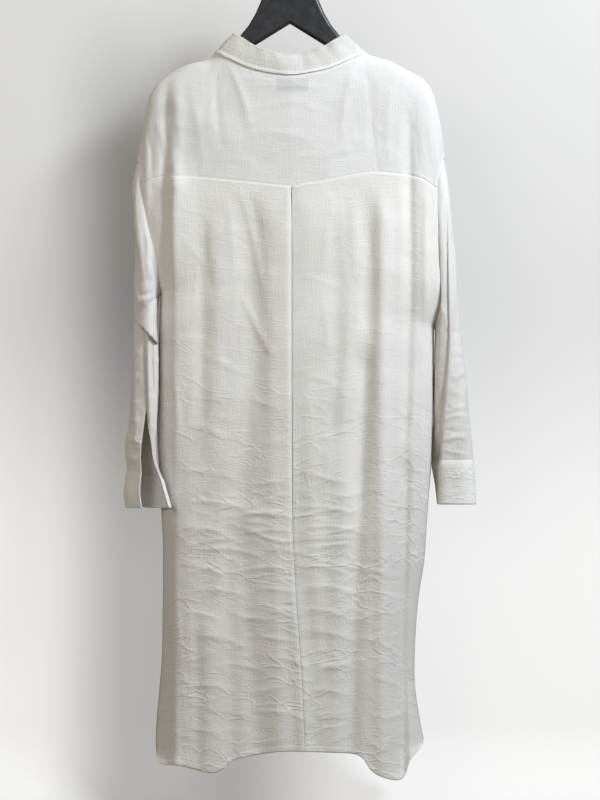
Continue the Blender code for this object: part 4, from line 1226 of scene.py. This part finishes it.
def linen_weave():
    """Group: thread coordinates in metres give slubs, a fine crossed weave and small
    crumples, as a height for Bump, a tone that is light on slubs, and broad clouds."""
    tree, given, out = group_tree(
        "linen weave",
        [
            ("Threads", "NodeSocketVector", None),
            ("Slub", "NodeSocketFloat", 1.0),
            ("Crumple", "NodeSocketFloat", 1.0),
        ],
        [("Height", "NodeSocketFloat"), ("Tone", "NodeSocketFloat"), ("Cloud", "NodeSocketFloat")],
    )
    threads = given.outputs["Threads"]
    down = streaks(tree, threads, (330.0, 24.0, 1.0), 0.54, 0.72, 3.1)
    across = streaks(tree, threads, (22.0, 350.0, 1.0), 0.55, 0.73, 7.7)
    fine_down = streaks(tree, threads, (900.0, 60.0, 1.0), 0.35, 0.7, 1.3, 0.0)
    fine_across = streaks(tree, threads, (60.0, 900.0, 1.0), 0.35, 0.7, 5.9, 0.0)
    slubs = maths(tree, "MAXIMUM", down, across)
    fine = maths(tree, "ADD", fine_down, fine_across)
    slub_part = maths(tree, "MULTIPLY", slubs, given.outputs["Slub"])
    crumple_part = maths(tree, "MULTIPLY", fine_creases(tree, threads), given.outputs["Crumple"])
    height = maths(tree, "MULTIPLY", slub_part, 0.22)
    height = maths(tree, "ADD", height, maths(tree, "MULTIPLY", fine, 0.09))
    height = maths(tree, "ADD", height, maths(tree, "MULTIPLY", crumple_part, 0.9))
    tone = maths(tree, "MULTIPLY", slub_part, 0.6)
    tone = maths(tree, "ADD", tone, maths(tree, "MULTIPLY", fine, 0.2))
    cloud = flat_noise(tree, drawn_out(tree, threads, (9.0, 14.0, 1.0)), 1.0, 3.0, 0.6)
    tree.links.new(height, out.inputs["Height"])
    tree.links.new(tone, out.inputs["Tone"])
    tree.links.new(remap(tree, cloud.outputs[0], 0.35, 0.68), out.inputs["Cloud"])
    return tree


def label_shadow():
    """Group: a painted shadow of the neck label on the yoke: object coordinates in metres give a
    soft-edged box, a little larger than the label, where that lies behind the cloth."""
    tree, given, out = group_tree(
        "painted label shadow", [("Place", "NodeSocketVector", None)], [("Mask", "NodeSocketFloat")]
    )
    parts = put(tree, "ShaderNodeSeparateXYZ", Vector=given.outputs["Place"])
    sides = []
    for axis, middle, half in ((0, 0.0035, 0.0235), (2, -0.2375, 0.0098)):
        away = maths(tree, "ABSOLUTE", maths(tree, "SUBTRACT", parts.outputs[axis], middle))
        sides.append(remap(tree, away, half + 0.0012, half - 0.0008))
    back = remap(tree, parts.outputs[1], 0.0, -0.004)
    mask = maths(tree, "MULTIPLY", maths(tree, "MULTIPLY", sides[0], sides[1]), back)
    tree.links.new(mask, out.inputs["Mask"])
    return tree


def new_material(name):
    """A material with its tree, its shader and its output node."""
    made = bpy.data.materials.new(name)
    made.use_nodes = True
    tree = made.node_tree
    return made, tree, tree.nodes["Principled BSDF"], tree.nodes["Material Output"]


def linen(
    name, weave, light, dark, slub=1.0, crumple=1.0, through=0.2, open_weave=0.0, label=None
):
    """Linen: off-white that varies in clouds and lightens on slubs, matt and a little fuzzy. Where
    cloth is turned behind it, a painted highlight stands in for the light that cloth sends back
    through it, and where the neck label lies behind the yoke a painted shadow is laid on. It lets
    warm light through, and its open weave shows a little of what is behind."""
    made, tree, shader, output = new_material(name)
    threads = put(tree, "ShaderNodeUVMap", {"uv_map": "threads"}).outputs[0]
    cloth = tree.nodes.new("ShaderNodeGroup")
    cloth.node_tree = weave
    cloth.inputs["Slub"].default_value = slub
    tree.links.new(threads, cloth.inputs["Threads"])
    place = put(tree, "ShaderNodeTexCoord").outputs["Object"]
    height = put(tree, "ShaderNodeSeparateXYZ", Vector=place).outputs["Z"]
    worn = remap(tree, height, -0.55, -0.85, 0.3 * crumple, crumple)
    tree.links.new(worn, cloth.inputs["Crumple"])
    bright = blend(tree, cloth.outputs["Cloud"], dark, light)
    slubs = maths(tree, "MULTIPLY", cloth.outputs["Tone"], 0.34)
    bright = blend(tree, slubs, bright, (0.6, 0.6, 0.58), "SCREEN")
    # painted highlight: cloth turned behind lightens the colour, for the light it sends back
    # through the cloth in front
    layers = put(tree, "ShaderNodeAttribute", {"attribute_name": "layers"}).outputs["Fac"]
    turned = maths(tree, "MULTIPLY", layers, 0.22)
    bright = blend(tree, turned, bright, (0.62, 0.6, 0.52), "SCREEN")
    # painted shadow where the neck label lies behind the yoke
    if label:
        mask = tree.nodes.new("ShaderNodeGroup")
        mask.node_tree = label
        tree.links.new(place, mask.inputs["Place"])
        shade = maths(tree, "MULTIPLY", mask.outputs["Mask"], 0.55)
        bright = blend(tree, shade, bright, (0.80, 0.83, 0.88), "MULTIPLY")
    weave_height = cloth.outputs["Height"]
    rough = put(tree, "ShaderNodeBump", Strength=0.6, Distance=0.0014, Height=weave_height)
    tree.links.new(bright, shader.inputs["Base Color"])
    tree.links.new(rough.outputs[0], shader.inputs["Normal"])
    shader.inputs["Roughness"].default_value = 0.86
    shader.inputs["Sheen Weight"].default_value = 0.18
    shader.inputs["Sheen Roughness"].default_value = 0.5
    warm = blend(tree, 1.0, bright, (1.0, 0.87, 0.68), "MULTIPLY")
    thin = put(tree, "ShaderNodeBsdfTranslucent", Color=warm, Normal=rough.outputs[0])
    both = put(tree, "ShaderNodeMixShader", i0=through, i1=shader.outputs[0], i2=thin.outputs[0])
    if open_weave:
        gaps = put(tree, "ShaderNodeBsdfTransparent")
        sheer = maths(tree, "MULTIPLY", maths(tree, "SUBTRACT", 1.0, layers), open_weave)
        both = put(tree, "ShaderNodeMixShader", i0=sheer, i1=both.outputs[0], i2=gaps.outputs[0])
    tree.links.new(both.outputs[0], output.inputs["Surface"])
    return made


def plain(name, color, roughness, metallic=0.0, speck=0.0, scale=400.0, bump=0.0, coat=0.0):
    """A smooth stuff with a faint mottle of tone and roughness, and fine bumps."""
    made, tree, shader, _ = new_material(name)
    place = tree.nodes.new("ShaderNodeTexCoord").outputs["Object"]
    noise = put(
        tree, "ShaderNodeTexNoise", Vector=place, Scale=scale, Detail=3.0, Roughness=0.6
    ).outputs[0]
    low = tuple(c * (1 - speck) for c in color)
    high = tuple(min(1.0, c * (1 + speck)) for c in color)
    tint = blend(tree, remap(tree, noise, 0.3, 0.7), low, high)
    tree.links.new(tint, shader.inputs["Base Color"])
    worn = remap(tree, noise, 0.3, 0.7, roughness * 0.85, min(1.0, roughness * 1.12))
    tree.links.new(worn, shader.inputs["Roughness"])
    shader.inputs["Metallic"].default_value = metallic
    shader.inputs["Coat Weight"].default_value = coat
    if bump:
        bumps = put(tree, "ShaderNodeBump", Strength=bump, Distance=0.0004, Height=noise)
        tree.links.new(bumps.outputs[0], shader.inputs["Normal"])
    return made


def studio_paper():
    """Mid grey paper with painted light: to the camera it glows paler, most near the floor, and a
    painted shadow of the dress makes it glow least in the upper left beside the dress. It lets a
    camera behind it look through."""
    made, tree, shader, output = new_material("studio paper")
    place = put(tree, "ShaderNodeTexCoord").outputs["Object"]
    parts = put(tree, "ShaderNodeSeparateXYZ", Vector=place)
    # painted light: the glow that only camera rays see, rising toward the floor
    low = remap(tree, parts.outputs["Z"], -0.5, -1.0, 0.0, PAPER_FLOOR_GLOW)
    # painted shadow of the dress: a mask beside its left side, in the upper part of the wall
    near = remap(tree, parts.outputs["X"], -0.40, -0.25)
    near = maths(tree, "MULTIPLY", near, remap(tree, parts.outputs["X"], 0.1, -0.1))
    near = maths(tree, "MULTIPLY", near, remap(tree, parts.outputs["Z"], -0.02, -0.35))
    painted_shadow = maths(tree, "MULTIPLY", near, -PAPER_SHADOW)
    glow = maths(tree, "ADD", maths(tree, "ADD", low, PAPER_GLOW), painted_shadow)
    seen = put(tree, "ShaderNodeLightPath").outputs["Is Camera Ray"]
    shader.inputs["Base Color"].default_value = (0.254, 0.25, 0.244, 1.0)
    shader.inputs["Roughness"].default_value = 0.95
    shader.inputs["Emission Color"].default_value = (1.0, 0.995, 0.99, 1.0)
    tree.links.new(maths(tree, "MULTIPLY", glow, seen), shader.inputs["Emission Strength"])
    back = put(tree, "ShaderNodeNewGeometry").outputs["Backfacing"]
    clear = put(tree, "ShaderNodeBsdfTransparent")
    both = put(tree, "ShaderNodeMixShader", i0=back, i1=shader.outputs[0], i2=clear.outputs[0])
    tree.links.new(both.outputs[0], output.inputs["Surface"])
    return made


def backdrop():
    """A pale floor that turns up in a quarter circle to a wall, as one swept sheet."""
    turn = np.linspace(0, np.pi / 2, 24)
    bend, wall_y, floor_z = 0.1, 0.13, -1.315
    y = np.r_[-4.0, wall_y - bend + bend * np.sin(turn), wall_y]
    z = np.r_[floor_z, floor_z + bend - bend * np.cos(turn), 2.6]
    x = np.linspace(-3.5, 3.5, 8)
    p = np.stack(np.broadcast_arrays(x[:, None], y, z), -1)
    index = np.arange(p.shape[0] * p.shape[1]).reshape(p.shape[:2])
    faces = np.stack([index[:-1, :-1], index[1:, :-1], index[1:, 1:], index[:-1, 1:]], -1)
    mesh = bpy.data.meshes.new("backdrop")
    mesh.from_pydata(p.reshape(-1, 3).tolist(), [], faces.reshape(-1, 4).tolist())
    mesh.polygons.foreach_set("use_smooth", [True] * len(mesh.polygons))
    mesh.materials.append(studio_paper())
    sheet = bpy.data.objects.new("backdrop", mesh)
    bpy.context.scene.collection.objects.link(sheet)


def area_light(name, place, aim, size, power, color):
    """A rectangular light at a place in metres, turned to face its aim."""
    lamp = bpy.data.lights.new(name, "AREA")
    lamp.shape = "RECTANGLE"
    lamp.size, lamp.size_y = size
    lamp.energy = power
    lamp.color = color
    holder = bpy.data.objects.new(name, lamp)
    bpy.context.scene.collection.objects.link(holder)
    way = np.asarray(aim, float) - np.asarray(place, float)
    flat = math.hypot(way[0], way[1])
    holder.location = place
    holder.rotation_euler = (math.atan2(flat, -way[2]), 0.0, math.atan2(-way[0], way[1]))


def studio():
    """Key light from the upper right, a wide warm fill from the left, a light beyond the
    paper wall, warm surroundings, and the camera square to the dress at the photo's
    distance."""
    backdrop()
    area_light("key", (1.25, -1.05, 0.6), (0.0, 0.0, -0.4), (0.45, 0.45), 46.0, (0.85, 0.925, 1.0))
    area_light("fill", (-1.5, -1.9, 0.5), (-0.1, 0.0, -0.4), (1.2, 1.2), 17.0, (1.0, 0.935, 0.84))
    area_light("behind", (0.6, 2.4, 0.4), (0.0, 0.0, -0.7), (1.6, 1.6), 13.0, (1.0, 0.98, 0.95))
    world = bpy.data.worlds.new("studio")
    world.use_nodes = True
    sky = world.node_tree.nodes["Background"]
    sky.inputs["Color"].default_value = (1.0, 0.91, 0.78, 1.0)
    sky.inputs["Strength"].default_value = 0.33
    bpy.context.scene.world = world
    view = bpy.data.cameras.new("camera")
    view.sensor_fit = "VERTICAL"
    view.sensor_height = SENSOR
    view.lens = SENSOR * (VIEW_FAR + VIEW_NEAR) / FRAME_HIGH
    holder = bpy.data.objects.new("camera", view)
    bpy.context.scene.collection.objects.link(holder)
    holder.location = (VIEW_X * MM, -(VIEW_FAR + VIEW_NEAR) * MM, VIEW_Z * MM)
    holder.rotation_euler = (math.pi / 2, 0.0, 0.0)
    bpy.context.scene.camera = holder
    bpy.context.scene.view_settings.view_transform = "Standard"


def main():
    """Makes the materials, the pieces of cloth, the buttons and the stitches, paints the
    hanger's own nodes, and sets up the studio."""
    weave = linen_weave()
    body_linen = linen("linen", weave, (0.86, 0.857, 0.845), (0.81, 0.803, 0.785), 0.9, 0.6, 0.26)
    # painted shade: the yoke is the body's linen made greyer for the dark inside that shows
    # through it
    shaded_yoke_linen = linen(
        "shaded yoke linen", weave, (0.81, 0.812, 0.81), (0.75, 0.748, 0.74), 0.7, 0.5, 0.2, 0.09,
        label_shadow(),
    )
    band_linen = linen(
        "doubled linen", weave, (0.82, 0.812, 0.79), (0.74, 0.728, 0.70), 0.8, 0.6, 0.08
    )
    # painted shade: the collar is the same doubled linen as the cuffs, made darker for the shade
    # it lies in
    shaded_collar_linen = linen(
        "shaded collar linen", weave, (0.62, 0.61, 0.58), (0.545, 0.527, 0.495), 0.8, 0.8, 0.08
    )
    tape = linen("label tape", weave, (0.72, 0.72, 0.74), (0.66, 0.66, 0.68), 0.3, 0.2, 0.1)
    thread = plain("sewing thread", (0.82, 0.80, 0.74), 0.7, speck=0.04, scale=900.0)
    shell = plain("button shell", (0.80, 0.77, 0.69), 0.28, speck=0.06, scale=260.0, coat=0.4)
    black = plain("hanger paint", (0.018, 0.019, 0.022), 0.42, speck=0.12, scale=90.0, bump=0.08)
    steel = plain("hook steel", (0.62, 0.62, 0.61), 0.24, 1.0, 0.03, 700.0, 0.03)

    back = back_points()
    piece = add_cloth(
        "back_cloth", back, WALL, body_linen, nodes=("back",), layers=back_layers(back)
    )
    fronts = {}
    for side, name in ((-1, "left"), (1, "right")):
        points, behind = front_points(side)
        turned = slice(None, None, -1 if side < 0 else 1)
        fronts[side] = points[:, turned]
        piece = add_cloth(
            f"front_{name}_cloth", fronts[side], WALL, body_linen,
            nodes=(f"front_{name}",), layers=behind[:, turned],
        )
    yoke, cells, yoke_layers = yoke_points()
    piece = add_cloth(
        "yoke_cloth", yoke[::-1], WALL, shaded_yoke_linen,
        cells=cells[::-1], nodes=("yoke",), layers=yoke_layers[::-1],
    )
    seams = []
    for side, name, table, fine, cuff_flat in (
        (-1, "left", SLEEVE_LEFT, CREASES_SLEEVE_LEFT, (0.15, 0.052)),
        (1, "right", SLEEVE_RIGHT, CREASES_SLEEVE_RIGHT, (0.19, 0.066)),
    ):
        points, joined, seam_row = sleeve_points(table, side, fine)
        piece = add_cloth(
            f"sleeve_{name}_cloth", points[: seam_row + 1], WALL, body_linen,
            joined=min(joined, seam_row + 1), nodes=(f"sleeve_{name}",),
        )
        cuff = points[seam_row - 1 :]
        proud = eased(np.arange(len(cuff)) / 3.0)[:, None, None]
        cuff = cuff + normals_of(cuff) * (1.3 * proud - 0.4)
        piece = add_cloth(
            f"cuff_{name}_cloth", cuff, BAND, band_linen,
            joined=len(cuff) if joined == len(points) else 0, nodes=(f"cuff_{name}",),
        )
        seams += [lines_on(cuff, row=4, lift=0.95), lines_on(cuff, row=-2, lift=0.95)]
    collar, collar_layers = collar_points()
    piece = add_cloth(
        "collar_cloth", collar, BAND, shaded_collar_linen, nodes=("collar",), layers=collar_layers
    )

    x0, x1, top, bottom = NECK_LABEL
    x, z = np.meshgrid(np.linspace(x0, x1, 24), np.linspace(top, bottom, 14))
    label = on_body(x, z, fine=False)
    label[..., 1] += WALL / 2 + 1.6 + 0.5 * np.sin(x / 9.0) * ((top - z) / (top - bottom))
    piece = add_cloth("label_cloth", label, TAPE, tape, nodes=("neck_label",))

    straight, turned = (0.0, 1.0, 0.0), (0.12, 1.0, 0.04)
    buttons = [(f"button_{k}", 0.0, z, straight) for k, z in enumerate(FRONT_BUTTONS, 1)]
    buttons.append(("button_open", *OPEN_BUTTON, turned))
    for node, x, z, facing in buttons:
        spot = on_body(np.array(x), np.array(float(z)), front=True, fine=False)
        spot[1] += WALL / 2 + 1.2 - (under_right(x) if x else 0)
        seams += button(node + "_disc", spot, facing, node, shell)

    seams.append(lines_on(yoke[::-1], row=-7, lift=0.9))
    seams += [lines_on(collar, row=1, lift=1.25), lines_on(collar, row=-3, lift=1.25)]
    seams.append(lines_on(back, row=-6, lift=0.8))
    for side in (-1, 1):
        seams.append(lines_on(fronts[side], row=-4, lift=0.8))
    stitches("stitching", seams, thread)

    for node, used in (("hanger_board", black), ("hanger_hook", steel)):
        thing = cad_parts[node]
        thing.data.materials.clear()
        thing.data.materials.append(used)
    studio()


main()
